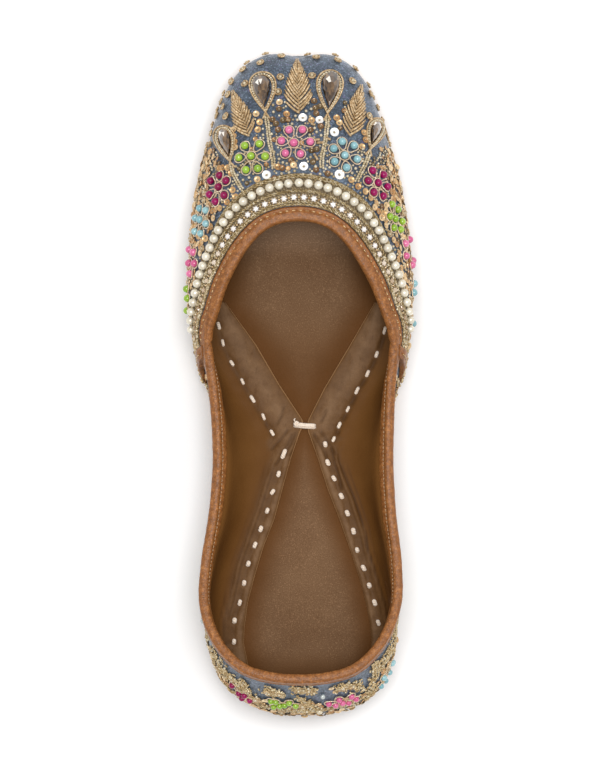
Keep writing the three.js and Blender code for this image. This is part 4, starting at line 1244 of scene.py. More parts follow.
        # painted shade along the groove of each wrinkle
        dark += 0.75 * g_
    fade = np.clip(run / 1.5, 0, 1) * np.clip((run[:, -1:] - run) / 6, 0, 1)
    band_only = 1 - smooth(((low[..., 0] - seam_x(low[..., 1])) * side - 4) / 4)
    rise += (0.16 * ripple(low * np.array([1, 0.5, 1]), 5.0, 31 + side) + 0.07 * ripple(low, 2.2, 33 + side)) * fade * (0.25 + 0.75 * band_only)
    top = low + n * np.clip(th + rise * fade, 0.08, 1.7)[..., None]
    FLAP_GRIDS[side] = top
    V, F, B, R = sheet(top, low, False)
    outer = (low[..., 0] - seam_x(low[..., 1])) * side
    reach = 1.2 + 3.4 * smooth((-18 - low[..., 1]) / 6)
    tone = smooth((outer - reach + 1.2) / 2.4)
    middle = np.clip(1 - np.abs(run / np.maximum(run + np.maximum(-outer, 0.5), 1) - 0.5) * 2, 0, 1)
    gleam = middle * (1 - smooth((outer - reach + 2.2) / 1.5))
    # painted highlight along the flap's inner edge
    painted_edge_highlight = np.zeros_like(tone)
    painted_edge_highlight[:, 0] = 1.0
    painted_edge_highlight[:, 1] = 0.8
    # painted light: lightens the leather towards the collar end, where the wall is in shade
    rim = smooth(1 - (run[:, -1:] - run) / 11)
    twice = lambda x: np.concatenate([x.ravel(), x.ravel()])
    make("flap_leather_left" if side < 0 else "flap_leather_right", V, outward(V, [F, B, R]), M_FLAPWALL, "flap_leather", angle=70, tone=twice(tone),
         extra={"dark": twice(np.clip(dark, 0, 1)), "painted_edge_highlight": twice(painted_edge_highlight), "gleam": twice(gleam), "rim": twice(rim)}, node="flap_left" if side < 0 else "flap_right")


def flap_material():
    """Taupe on the stitched band with a painted highlight along its middle, warmer and darker up the wall, with painted
    shade in the creases and hollows, a painted highlight on the inner edge and painted light towards the collar.
    """
    g = Mat("flap_and_wall_leather", Specular_IOR_Level=0.07)
    t = g.attr("tone")
    big = g.noise(6, 3, 0.6)
    band = g.ramp(big, (0.3, srgb(90, 61, 33)), (0.55, srgb(99, 69, 40)), (0.75, srgb(109, 79, 49)))
    band = g.mix(g.math("MULTIPLY", g.attr("gleam"), g.span(big, 0.35, 0.65, 0.3, 0.8)), band, srgb(128, 99, 72))
    wallc = g.ramp(g.noise(16, 2), (0.3, srgb(94, 60, 26)), (0.7, srgb(102, 67, 31)))
    col = g.mix(t, band, wallc)
    tiny = g.noise(0.34, 2, 0.6)
    pores = g.cells(0.7, "F1")
    col = g.mix(g.math("MULTIPLY", g.span(tiny, 0.55, 0.72, 0.0, 0.4), g.span(t, 0, 1, 1.0, 0.2)), col, g.mix(1.0, col, (1.6, 1.55, 1.5), "MULTIPLY"))
    crease_noise = g.noise(1.6, 4, 0.7, g.scaled(1000, 340, 1000))
    # darker where the crease noise is low
    col = g.mix(g.math("MULTIPLY", g.span(crease_noise, 0.44, 0.3, 0.0, 0.5), g.span(t, 0, 1, 1.0, 0.15)), col, g.mix(1.0, col, (0.62, 0.56, 0.5), "MULTIPLY"))
    # painted light towards the collar, from the rim attribute
    col = g.mix(g.math("MULTIPLY", g.attr("rim"), 0.85), col, srgb(142, 96, 48))
    # painted shade: the dark attribute darkens the creases, hollows and seams
    col = g.mix(g.math("MULTIPLY", g.attr("dark"), 0.72), col, srgb(62, 38, 16))
    # painted highlight on the flap's inner edge
    col = g.mix(g.math("MULTIPLY", g.attr("painted_edge_highlight"), 0.8), col, srgb(182, 140, 98))
    n = g.bump(pores, 0.06, 0.7)
    n = g.bump(crease_noise, 0.2, 0.35, n)
    n = g.bump(tiny, 0.04, 0.5, n)
    g.set(Base_Color=col, Roughness=g.math("ADD", g.span(big, 0.3, 0.7, 0.42, 0.52), g.span(t, 0, 1, 0.0, 0.1)), Normal=n)
    return g.m


M_FLAPWALL = flap_material()


def flap_top(x, y):
    """Height of the flaps' upper face under a plan point."""
    best, z = 1e9, 0
    for g in FLAP_GRIDS.values():
        q = (g[..., 0] - x) ** 2 + (g[..., 1] - y) ** 2
        k = np.unravel_index(q.argmin(), q.shape)
        if q[k] < best:
            best, z = q[k], g[k][2]
    return z


def build_stitches():
    pile = Pile()
    for key, line in STITCH.items():
        d = np.gradient(line, axis=0)
        for i, (p, t) in enumerate(zip(line, d)):
            t = t * np.array([0.82, 1.0]) if key in ("ul", "ur") else t
            t = t / np.linalg.norm(t)
            upper = key in ("ul", "ur")
            turn = rng.normal(0, 0.08) + (0.1 if key == "lr" else 0.0)
            t = np.array([t[0] * math.cos(turn) - t[1] * math.sin(turn), t[0] * math.sin(turn) + t[1] * math.cos(turn)])
            L = (1.32 if upper else 0.95) * (0.85 + 0.35 * rng.random())
            if key == "ll" and i == 0:
                L = 2.0
            w = (0.62 if upper else 0.8) * (0.9 + 0.2 * rng.random())
            path = []
            for k in np.linspace(-1, 1, 9):
                q = p + t * k * L
                z = flap_top(q[0], q[1])
                path.append([q[0], q[1], z])
            path = np.array(path)
            base = path[:, 2].min() * 0.3 + path[:, 2].mean() * 0.7
            kk = np.linspace(-1, 1, 9)
            path[:, 2] = base + 0.35 - 0.75 * np.abs(kk) ** 3.5
            prof = w * np.array([0.72, 0.98, 1, 1, 1, 1, 1, 0.98, 0.72])
            V, F, uv = tube(path, prof, 10, flat=0.7, up=np.array([0, 0, 1.0]))
            pile.add(V, F, rng.random(), uv)
    # the bar that ties the flaps together, with its knot at the left
    a, b = pix(149.5, 422.6), pix(169.6, 424.2)
    for off, r in ((0.45, 0.62), (-0.45, 0.62), (0.0, 0.55)):
        w = np.linspace(0, 1, 15)
        z = np.array([flap_top(*(a + (b - a) * k)) for k in w])
        P = np.column_stack([a + (b - a) * w[:, None], np.full(15, z.max() + (0.45 if off == 0.0 else 0.15))])
        P[:, 1] += off + 0.05 * np.sin(w * 9)
        P[0, 2] -= 0.6
        P[-1, 2] -= 0.6
        V, F, uv = tube(P, r, 10)
        pile.add(V, F, 0.5, uv * np.array([0.0, 1.0]))
    c = pix(151.6, 421.6)
    z = flap_top(*c) + 0.7
    w = np.linspace(0, 2 * np.pi * 1.6, 26)
    knot = np.column_stack([c[0] + 0.62 * np.cos(w), c[1] + 0.75 * np.sin(w), z + 0.25 * np.sin(w * 1.5)])
    V, F, uv = tube(knot, 0.5, 8)
    pile.add(V, F, 0.5, uv)
    tail = spline([[c[0] - 0.3, c[1] + 0.5, z], [c[0] - 0.9, c[1] + 1.5, z - 0.2], [c[0] - 0.6, c[1] + 2.0, z - 0.5]], 9)
    V, F, uv = tube(tail, 0.3, 7)
    pile.add(V, F, 0.5, uv)
    pile.make("cotton_stitches", M_COTTON, "thread", angle=80)


build_upper()
build_vamp_cloth()
build_vamp_binding()
build_quarter_binding()
build_sole()
build_heel()
build_insole()
build_flap(-1)
build_flap(1)
build_stitches()
# ---------------------------------------------------------------- beads, crystals and metal thread
def base_t(u, v):
    w = (np.asarray(u, float) + HALF) % TURN - HALF
    return np.where(np.abs(w) < wing_edge(v), CLOTH, WALL)


def seat(xy, h):
    """Places on the cloth under picture points, at height h: point, the picture's two axes laid flat, normal."""
    xy = np.asarray(xy, float).reshape(-1, 2)
    h = np.broadcast_to(np.asarray(h, float), (len(xy),))
    u, v = land(xy, CLOTH + h)
    b = base_t(u, v)
    k = b < CLOTH
    if k.any():
        u[k], v[k] = land(xy[k], WALL + h[k])
    p, n, _ = frames(u, v)
    X = lift([1, 0], n)
    return p + n * (b + h)[:, None], X, np.cross(n, X), n


def at(u, d, h):
    """Places at ring position u and d mm below the collar: point, along the ring, down, normal."""
    u, d = np.broadcast_arrays(np.asarray(u, float), np.asarray(d, float))
    v = v_below(u, d[:, None])[:, 0]
    p, n, r = frames(u, v)
    a = bez(u + 0.05, v) - bez(u - 0.05, v)
    a /= np.linalg.norm(a, axis=1, keepdims=True)
    return p + n * (base_t(u, v) + h)[:, None], a, np.cross(n, a), n


def patch(u0, d0, ab, h):
    """Places round (u0, d0) with ab in mm: along the ring and down."""
    ab = np.asarray(ab, float).reshape(-1, 2)
    v0 = v_below(np.array([u0]), np.array([[d0]]))[0, 0]
    return at(u0 + ab[:, 0] / along_u(np.array([u0]), np.array([v0]))[0], d0 + ab[:, 1], h)


BALL_P = ball(24, 16)
BALL_L, BALL_M, BALL_S, BALL_XS = ball(16, 10), ball(9, 6), ball(7, 5), ball(6, 4)
TAKEN = []
FACETS = {3: [], 4: []}


def take(P, r):
    for p in np.asarray(P).reshape(-1, 3):
        TAKEN.append((p[0], p[1], p[2], r))


GOLD, CORDS, PETALS, SEEDS, PEARLS, RHINE = Pile(), Pile(), Pile(), Pile(), Pile(), Pile()
STONES, CLEAR = Pile(), Pile()
COLOUR = {k: Pile() for k in ("pink", "magenta", "lime", "sky")}
SPANGLES = [Pile(), Pile(), Pile()]

# rows round the throat: distance below the collar by ring position
PEARL_D = ([0, 1, 2, 3, 4, 5, 6, 6.45, 6.85, 7.2, 7.5, 8.2], [12.6, 12.1, 11.7, 11.3, 10.9, 10.6, 10.5, 10.0, 9.6, 9.9, 10.4, 10.6])
STONE_D = ([0, 1, 2, 3, 3.5, 4, 4.5, 6, 7, 8], [7.5, 7.15, 7.0, 6.95, 6.8, 6.6, 6.35, 6.25, 6.4, 6.6])
CORD_D = {
    "a": ([0, 8], [4.85, 4.75]), "b": ([0, 2, 4, 8], [5.85, 5.6, 5.4, 5.35]),
    "c": ([0, 1, 2, 3, 4, 5, 6, 7, 8], [9.95, 9.5, 9.2, 9.1, 8.8, 8.45, 8.35, 7.9, 8.2]),
    "d": ([0, 1, 2, 3, 4, 5, 6, 6.45, 6.85, 7.2, 7.5, 8.2], [15.1, 14.6, 14.1, 13.7, 13.2, 12.9, 12.8, 12.2, 11.8, 12.0, 12.3, 11.6]),
    "e": ([0, 1, 2, 3, 4, 5, 6, 6.45, 6.85, 7.2, 7.5, 8.2], [15.95, 15.4, 14.9, 14.5, 14.0, 13.7, 13.6, 13.0, 12.6, 12.8, 13.1, 12.3])}


def line_at(table, h, u_end):
    u = np.linspace(-u_end, u_end, 1400)
    d = np.interp(np.abs(u), *table)
    w = np.ones(41) / 41
    d = np.convolve(np.concatenate([np.full(20, d[0]), d, np.full(20, d[-1])]), w, "valid")
    P, a, b, n = at(u, d, h)
    s = np.concatenate([[0], np.cumsum(np.linalg.norm(np.diff(P, axis=0), axis=1))])
    return s, P, n


def pick(s, A, q):
    out = np.stack([np.interp(q, s, A[:, k]) for k in range(3)], -1)
    return out


def frame_on(s, P, n, q):
    p, m = pick(s, P, q), pick(s, n, q)
    m /= np.linalg.norm(m, axis=1, keepdims=True)
    t = pick(s, P, q + 0.2) - pick(s, P, q - 0.2)
    t -= m * (t * m).sum(1, keepdims=True)
    t /= np.linalg.norm(t, axis=1, keepdims=True) + 1e-9
    return p, t, np.cross(m, t), m


def twist(pile, s, P, n, r=0.3, off=0.29, pitch=3.0, tone=0.8, step=0.34, seed=0, sides=6):
    q = np.linspace(0.2, s[-1] - 0.2, int(s[-1] / step))
    p, t, b, m = frame_on(s, P, n, q)
    wob = 0.8 * ripple(p, 14.0, 50 + seed)
    for k in range(2):
        ph = 2 * np.pi * q / pitch + k * np.pi + wob
        path = p + b * (np.cos(ph) * off)[:, None] + m * (np.sin(ph) * off)[:, None]
        V, F, uv = tube(path, r, sides, up=m)
        pile.add(V, F, tone + 0.12 * ripple(V, 4.0, 60 + seed + k), uv)


BRAID_AND_SHADE, BULLION = Pile(), Pile()


def braid_and_shade_under(inner, outer, u_end):
    """The woven band that the rows are sewn on; its brown in the gaps between the pearls is painted shade."""
    u = np.linspace(-u_end, u_end, 420)
    k = np.linspace(0, 1, 12)
    d = np.interp(np.abs(u), *inner)[:, None] * (1 - k) + np.interp(np.abs(u), *outer)[:, None] * k
    d = sum(np.roll(np.pad(d, ((9, 9), (0, 0)), mode="edge"), j, 0) for j in range(-9, 10))[9:-9] / 19
    v = v_below(u, d)
    p, n, r = frames(u[:, None], v)
    crown = np.array([0.04, 0.18] + [0.22] * 8 + [0.18, 0.04])
    V, F, B, R = sheet(p + n * (CLOTH + crown)[None, :, None], p + n * (CLOTH - 0.1), False)
    uv = np.stack([np.repeat(np.cumsum(np.concatenate([[0], np.linalg.norm(np.diff(p[:, 2], axis=0), axis=1)])), 12), np.tile(k * 3, len(u))], -1)
    BRAID_AND_SHADE.add(V, outward(V, [F, B, R]), 0.5, np.concatenate([uv, uv]))


def build_rows():
    for i, (key, h, end, r, off) in enumerate((("a", 0.36, 7.72, 0.27, 0.24), ("b", 0.36, 7.74, 0.28, 0.25), ("c", 0.45, 7.86, 0.31, 0.3), ("d", 0.42, 7.95, 0.3, 0.28), ("e", 0.34, 7.6, 0.28, 0.22))):
        s, P, n = line_at(CORD_D[key], h, end)
        twist(CORDS, s, P, n, r, off, 3.0 + 0.15 * i, 0.8, seed=i)
        take(P[::14], 1.0)
    s, P, n = line_at(PEARL_D, 1.5, 7.5)
    m = int(round((s[-1]) / 3.62))
    q = np.linspace(0.6, s[-1] - 0.6, m) + rng.normal(0, 0.07, m)
    p, t, b, k = frame_on(s, P, n, q)
    side = np.abs(np.linspace(-7.5, 7.5, m))
    r = np.interp(side, [0, 3, 6.5, 7.5], [1.66, 1.66, 1.6, 1.4])
    PEARLS.copies(BALL_P, p, t, b, k, r, rng.random(m))
    # each pearl's thread, a short gold pin at both ends of its hole
    for e in (-1, 1):
        SEEDS.copies(BALL_S, p + t * (r * 1.0)[:, None] * e - k * 0.35, t, b, k, 0.24, 0.3)
    take(P[::14], 2.0)
    # the band under the rows, brown so the gaps between the pearls show painted shade
    braid_and_shade_under(([0, 2, 4, 8], [4.5, 4.4, 4.3, 4.3]), ([0, 1, 3, 5, 6.5, 7.5, 8], [16.6, 16.1, 15.3, 14.4, 13.6, 13.2, 13.0]), 7.7)
    s, P, n = line_at(STONE_D, 0.35, 7.5)
    m = int(round(s[-1] / 3.6))
    q = np.linspace(0.5, s[-1] - 0.5, m) + rng.normal(0, 0.05, m)
    p, t, b, k = frame_on(s, P, n, q)
    turn = rng.normal(0, 0.25, m)[:, None]
    tt, bb = t * np.cos(turn) + b * np.sin(turn), b * np.cos(turn) - t * np.sin(turn)
    a = np.arange(12) * np.pi / 6
    rr = np.where(np.arange(12) % 2 == 0, 1.3, 0.86)
    rings = [np.stack([rr * f * np.cos(a), rr * f * np.sin(a), np.full(12, z)], -1) for f, z in ((0.85, -0.2), (1.0, 0.35), (0.6, 0.82))]
    V = np.concatenate(rings + [[[0, 0, 0.9], [0, 0, -0.2]]])
    i = np.arange(12)
    j = (i + 1) % 12
    quads = np.concatenate([np.stack([i + o, j + o, j + o + 12, i + o + 12], -1) for o in (0, 12)])
    tri = np.concatenate([np.stack([24 + i, 24 + j, np.full(12, 36)], -1), np.stack([j, i, np.full(12, 37)], -1)])
    # the stones' tone falls towards the row's ends: painted shade where the stones turn away, painted white reflection
    # at the front
    RHINE.copies((V, outward(V, [quads, tri])), p + k * 0.25, tt, bb, k, np.interp(np.abs(np.linspace(-1, 1, m)), [0, 0.45, 0.8, 1], [1.06, 0.98, 0.84, 0.72]), np.clip(1.15 - 1.25 * smooth((np.abs(np.linspace(-1, 1, m)) - 0.3) / 0.75) + rng.normal(0, 0.12, m), 0, 1))
    for x, y in ((0.8, 0.8), (-0.8, 0.8), (0.8, -0.8), (-0.8, -0.8)):
        GOLD.copies(BALL_S, p + tt * x * 1.15 + bb * y * 1.15 + k * 0.1, tt, bb, k, 0.27, 0.7)
    q2 = (q[1:] + q[:-1]) / 2
    p, t, b, k = frame_on(s, P, n, q2)
    GOLD.copies(BALL_M, p + k * 0.1, t, b, k, 0.46, rng.random(len(q2)))
    for y in (-0.95, 0.95):
        SEEDS.copies(BALL_S, p + b * y - k * 0.02 + t * rng.normal(0, 0.1, (len(q2), 1)), t, b, k, 0.36, rng.random(len(q2)) * 0.7)
    take(P[::14], 1.6)


SPANGLE = lathe([(0.36, 0.02), (0.44, 0.16), (0.85, 0.18), (1.1, 0.34), (1.28, 0.46), (1.3, 0.34), (0.95, 0.0)], 12)
FLAT = lathe([(0.3, 0.05), (0.42, 0.2), (0.9, 0.24), (1.15, 0.18), (1.3, 0.26), (1.36, 0.12), (1.0, 0.02)], 20)


def spangles(P, X, Y, n, tone, scale=1.0, tilt=0.16, shape=None, which=None):
    m = len(P)
    if not m:
        return
    a = rng.random(m) * 6.28
    k = np.abs(rng.normal(0, tilt, m))
    d = X * np.cos(a)[:, None] + Y * np.sin(a)[:, None]
    z = n + d * k[:, None]
    z /= np.linalg.norm(z, axis=1, keepdims=True)
    x = np.cross(Y, z)
    x /= np.linalg.norm(x, axis=1, keepdims=True)
    y = np.cross(z, x)
    P = P + n * (k * 0.9)[:, None]
    scale = np.broadcast_to(np.asarray(scale, float), (m,))
    tone = np.broadcast_to(np.asarray(tone, float), (m,))
    group = np.where(P[:, 1] < -20, 2, np.where(P[:, 0] < 0, 0, 1)) if which is None else np.full(m, which)
    for g in range(3):
        s = group == g
        if s.any():
            SPANGLES[g].copies(shape or SPANGLE, P[s], x[s], y[s], z[s], scale[s], tone[s])


def stitch_bead(P, X, Y, n, tone, r=0.34):
    """The tiny bead that holds a spangle down."""
    SEEDS.copies(BALL_XS, P + n * 0.3, X, Y, n, r, tone)


def petals(pile, P, n, c, r, wire=0.25, nc=None):
    """Wire loops round beads at P, each drawn to a point towards the flower's heart c."""
    for p, k in zip(P, n):
        g = c - p
        g = g - k * (g @ k)
        far = np.linalg.norm(g)
        th = np.linspace(-np.pi, np.pi, 25)[:-1]
        if far < 0.5:
            g, reach = np.cross(k, [0, 1.0, 0]), 0.0
            g = g / np.linalg.norm(g)
        else:
            g, reach = g / far, min(1.5, max(0.4, far - r - 2.6))
        s = np.cross(k, g)
        rad = (r + 0.42) + reach * np.exp(-(th / 0.5) ** 2)
        path = p + (np.cos(th) * rad)[:, None] * g + (np.sin(th) * rad)[:, None] * s - k * (0.45 + 0.12 * np.cos(2 * th))[:, None]
        V, F, uv = tube(path, wire, 6, closed=True, up=k)
        pile.add(V, F, 0.6 + 0.4 * rng.random(), uv)


def flower(colour, px, centre=None, r=1.47):
    xy = pix(*np.array(px, float).T)
    P, X, Y, n = seat(xy, r * 0.96)
    COLOUR[colour].copies(BALL_L, P, X, Y, n, r * (1 + rng.normal(0, 0.015, len(P))), rng.random(len(P)))
    c = P[centre] if centre is not None else P.mean(0)
    petals(PETALS, P, n, c, r)
    take(P, r + 0.9)
    take([c], 1.5)


def flower_ud(colour, u0, d0, R=5.1, turn=0.0, r=1.45, count=6):
    a = turn + np.arange(count) * 2 * np.pi / count
    ab = np.concatenate([[[0, 0]], np.stack([np.cos(a), np.sin(a)], -1) * R * (1 + rng.normal(0, 0.04, (count, 1)))])
    P, X, Y, n = patch(u0, d0, ab, r * 0.96)
    COLOUR[colour].copies(BALL_L, P, X, Y, n, r, rng.random(len(P)))
    petals(PETALS, P, n, P[0], r)
    take(P, r + 0.9)


def rosettes(P, X, Y, n, size=1.0):
    m = len(P)
    size = size * 1.08
    for i in range(m):
        th = np.linspace(0, 2 * np.pi * 1.14, 22) + rng.random() * 6.28
        k = size * (0.98 + 0.14 * (th - th[0]) / 7)
        path = P[i] + (np.cos(th) * k)[:, None] * X[i] + (np.sin(th) * k)[:, None] * Y[i] + n[i] * (0.46 + 0.2 * (th - th[0])[:, None] / 7)
        V, F, uv = tube(path, 0.38 * size, 6)
        GOLD.add(V, F, 0.5 + 0.5 * rng.random(), uv)
    SEEDS.copies(BALL_M, P + n * 0.7, X, Y, n, 0.64 * size, 0.25 + 0.3 * rng.random(m))
    take(P, 1.7 * size)


def leaf(tip, base, width, n=10, lean=0.0):
    tip, base = pix(*tip), pix(*base)
    ax = tip - base
    L = np.linalg.norm(ax)
    ax = ax / L
    side_ = np.array([ax[1], -ax[0]])
    W = width * PX / 2
    outline_ = lambda a: W * np.interp(a / L, [0, 0.1, 0.32, 0.55, 0.8, 0.93, 1.02], [0.4, 0.8, 1.0, 0.84, 0.42, 0.16, 0.0])
    strands = []
    for side in (1, -1):
        for i in range(n):
            f = (i + (0.3 if side > 0 else 0.0)) / n
            s0 = L * (0.01 + 0.80 * f)
            ang = math.radians(46 - 32 * f) + rng.normal(0, 0.035)
            ls = np.linspace(0.5, 12, 160)
            hit = np.argmax(ls * math.sin(ang) > outline_(s0 + ls * math.cos(ang)))
            ln = ls[hit] * (1.0 + 0.05 * rng.random()) + 0.3
            strands.append((s0, side * ang, max(2.0, ln), f))
    for a0 in (-0.05, 0.06):
        strands.append((L * 0.70, a0, L * 0.30, 1.0))
    xy, hh, t = [], [], np.linspace(0, 1, 13)
    for s0, ang, ln, f in strands:
        bow = 0.05 * ln * np.sin(np.pi * t) * np.sign(ang)
        d = ax * math.cos(ang) + side_ * math.sin(ang)
        e = np.array([d[1], -d[0]])
        xy.append(base + ax * s0 - side_ * math.sin(ang) * 0.35 + d * (t * ln)[:, None] + e * bow[:, None])
        hh.append(0.45 + 0.5 * np.sin(np.pi * t) ** 0.8 + 0.3 * (1 - f) * (1 - t) + 0.12 * rng.random())
    P, X, Y, k = seat(np.concatenate(xy), np.concatenate(hh))
    for i in range(len(strands)):
        rad = 0.53 * np.interp(t, [0, 0.08, 0.85, 1], [0.7, 1.0, 0.95, 0.4]) * (0.92 if strands[i][3] < 0.6 else 0.8)
        V, F, uv = tube(P[i * 13:i * 13 + 13], rad, 8, flat=0.8, up=k[i * 13:i * 13 + 13])
        GOLD.add(V, F, 0.3 + 0.7 * rng.random(), uv)
    a = np.linspace(0.02, 0.98, 14) * L
    for o in (-0.55, 0, 0.55):
        P, X, Y, k = seat(base + ax * a[:, None] + side_ * (outline_(a) * o)[:, None], 0)
        take(P, 1.7)


def drop_outline(c, ax, L, W, m=64, power=1.15):
    """Pear shape round c, its point along ax."""
    th = np.linspace(0, 2 * np.pi, m + 1)[:-1]
    s = np.sin(th) * np.sin(th / 2) ** power
    s = s / np.abs(s).max() * W / 2
    side_ = np.array([ax[1], -ax[0]])
    return c + np.cos(th)[:, None] * ax * L / 2 + s[:, None] * side_


def teardrop(top, tip, width, shift=(0, 0), stone=0.6):
    top, tip = pix(*top), pix(*tip)
    ax = tip - top
    L = np.linalg.norm(ax)
    ax = ax / L
    W = width * PX
    c = (top + tip) / 2
    sc = c - ax * 0.35 + np.array(shift)
    # the stone: a girdle, a crown of flat facets, and a table
    m = 12
    g = drop_outline(sc, ax, L - 2.9, W - 3.9, m)
    V, H = [], []
    half = drop_outline(sc, ax, L - 2.9, W - 3.9, 2 * m)[1::2]
    rows = [(g, 1.0, 0.35), (g, 1.03, 0.85), (half, 0.74, 1.7), (g, 0.40, 2.25)]
    for q, f, h in rows:
        P, X, Y, k = seat(sc + (q - sc) * f, h)
        V.append(P)
    Pc, _, _, kc = seat([sc, sc], [2.15, 0.35])
    V = np.concatenate(V + [Pc])
    i = np.arange(m)
    j = (i + 1) % m
    faces = [np.stack([i, j, j + m, i + m], -1)]
    tri = [np.stack([m + i, m + j, 2 * m + i], -1), np.stack([2 * m + i, m + j, 2 * m + j], -1),
           np.stack([2 * m + i, 2 * m + j, 3 * m + j], -1), np.stack([3 * m + i, 2 * m + i, 3 * m + j], -1),
           np.stack([3 * m + i, 3 * m + j, np.full(m, 4 * m)], -1), np.stack([j, i, np.full(m, 4 * m + 1)], -1)]
    STONES.add(V, outward(V, [faces[0], np.concatenate(tri)]), rng.random())
    FACETS[4].append(np.full(m, 0.1))
    glint = np.concatenate([0.05 + 0.5 * rng.random(4 * m), 0.25 + 0.35 * rng.random(m), np.full(m, 0.2)])
    mids = np.concatenate([V[t].mean(1) for t in tri])
    # the two facets nearest a spot up and to the left of the stone's middle are set to white: a painted highlight
    painted_highlight_spot = sc - ax * (L * 0.06) + np.array([-0.9, 0.9])
    glint[np.argsort(np.linalg.norm(mids[:4 * m, :2] - painted_highlight_spot, axis=1))[:2]] = 1.0
    FACETS[3].append(glint)
    # a collar of small beads, close set
    ring = drop_outline(c, ax, L - 1.5, W - 2.2, 200)
    P, X, Y, k = seat(ring, 0.62)
    loop = np.concatenate([P, P[:1]])
    s = np.concatenate([[0], np.cumsum(np.linalg.norm(np.diff(loop, axis=0), axis=1))])
    q = np.arange(0, s[-1] - 0.5, 1.1)
    B = pick(s, loop, q)
    N = pick(s, np.concatenate([k, k[:1]]), q)
    X = lift([1, 0], N)
    SEEDS.copies(BALL_M, B, X, np.cross(N, X), N, 0.49 + rng.normal(0, 0.03, (len(B), 1)) * np.ones(3), 0.2 + 0.8 * rng.random(len(B)))
    # two gold wires, crossed at the point and running on
    th = np.linspace(0, 2 * np.pi, 120)
    out = drop_outline(c, ax, L, W - 0.5, 120)
    tipward = np.array([ax[1], -ax[0]])
    ends = [out[4], out[-4]]
    tail = 2.6
    path = np.concatenate([[out[3] + (ax * tail - tipward * 1.3)], [out[4] + (ax * 1.0 - tipward * 0.4)], out[5:-4], [out[-4] + (ax * 1.0 + tipward * 0.4)], [out[-3] + (ax * tail + tipward * 1.3)]])
    path = resample(path, 0.45)
    P, X, Y, k = seat(path, 0.5 + 0.25 * np.abs(np.linspace(-1, 1, len(path))) ** 8)
    V, F, uv = tube(P, 0.4, 8, up=k)
    GOLD.add(V, F, 0.8, uv)
    inner = resample(drop_outline(c, ax, L - 2.2, W - 3.2, 90), 0.5)
    P2, X, Y, k2 = seat(inner, 0.95)
    V, F, uv = tube(P2, 0.2, 6, closed=True, up=k2)
    GOLD.add(V, F, 0.3, uv)
    a = np.linspace(0.05, 0.95, 8)[:, None]
    P, X, Y, k = seat(top + (tip - top) * a, 0)
    take(P, W / 2 * 0.95)


def stem(px, r=0.5, rows=2, tone=(0.0, 0.8)):
    xy = spline(pix(*np.array(px, float).T), 60)
    P, X, Y, n = seat(xy, 0.5)
    s = np.concatenate([[0], np.cumsum(np.linalg.norm(np.diff(P, axis=0), axis=1))])
    for k in range(rows):
        q = np.arange(0.3 + 0.48 * k, s[-1], 0.98)
        p, t, b, m = frame_on(s, P, n, q)
        p = p + b * ((k - (rows - 1) / 2) * 0.95 + rng.normal(0, 0.06, (len(q), 1)))
        SEEDS.copies(BALL_M, p, t, b, m, r * (1 + rng.normal(0, 0.06, (len(q), 1))) * np.array([1.15, 1, 1]), tone[0] + (tone[1] - tone[0]) * rng.random(len(q)))
    take(P[::5], 1.1)


def beads_px(px, r, tone, pile=None, h=None):
    P, X, Y, n = seat(pix(*np.array(px, float).T), r * 0.9 if h is None else h)
    (pile or SEEDS).copies(BALL_M, P, X, Y, n, r, tone)
    take(P, r + 0.3)


def lobes(put, size=1.0, count=5, turn=0.0):
    """A scroll of close gold coils: petal loops round a small bead; put maps local mm to places."""
    th = np.linspace(-np.pi, np.pi, 19)[:-1]
    loops = []
    for i in range(count):
        a = turn + i * 2 * np.pi / count
        ca, sa = math.cos(a), math.sin(a)
        for k in (1.0, 0.5):
            x, y = (1.7 + 1.15 * k * np.cos(th)) * size, (0.85 * k * np.sin(th)) * size
            loops.append((k, np.stack([x * ca - y * sa, x * sa + y * ca], -1)))
    P, n = put(np.concatenate([q for _, q in loops] + [np.zeros((1, 2))]), np.concatenate([np.full(18, 0.45 + 0.15 * k) for k, _ in loops] + [[0.7]]))
    for i, (k, _) in enumerate(loops):
        V, F, uv = tube(P[i * 18:i * 18 + 18], (0.33 + 0.03 * k) * size, 6, closed=True, up=n[i * 18:i * 18 + 18])
        GOLD.add(V, F, 0.3 + 0.7 * rng.random(), uv)
    X = lift([1, 0], n[-1:])
    SEEDS.copies(BALL_M, P[-1:], X, np.cross(n[-1:], X), n[-1:], 0.75 * size, 0.8)
    take(P[-1:] - n[-1:] * 0.7, 2.6 * size)


def lobes_px(x, y, size=1.0, count=5, turn=0.0):
    P, X, Y, n = seat(pix(x, y).reshape(1, 2), 0.0)
    lobes(lambda loc, h: (P + loc[:, :1] * X + loc[:, 1:] * Y + n * np.asarray(h)[:, None], np.repeat(n, len(loc), 0)), size, count, turn)


def lobes_ud(u, d, size=1.0, count=5, turn=0.0):
    lobes(lambda loc, h: (lambda r: (r[0], r[3]))(patch(u, d, loc, h)), size, count, turn)


def curl(put, points, rad=0.42, tone=0.7):
    """A free line of gold coil through local points."""
    loc = spline(points, 30)
    P, n = put(loc, 0.45)
    V, F, uv = tube(P, rad, 7, up=n)
    GOLD.add(V, F, tone, uv)
    take(P[::4], 0.8)


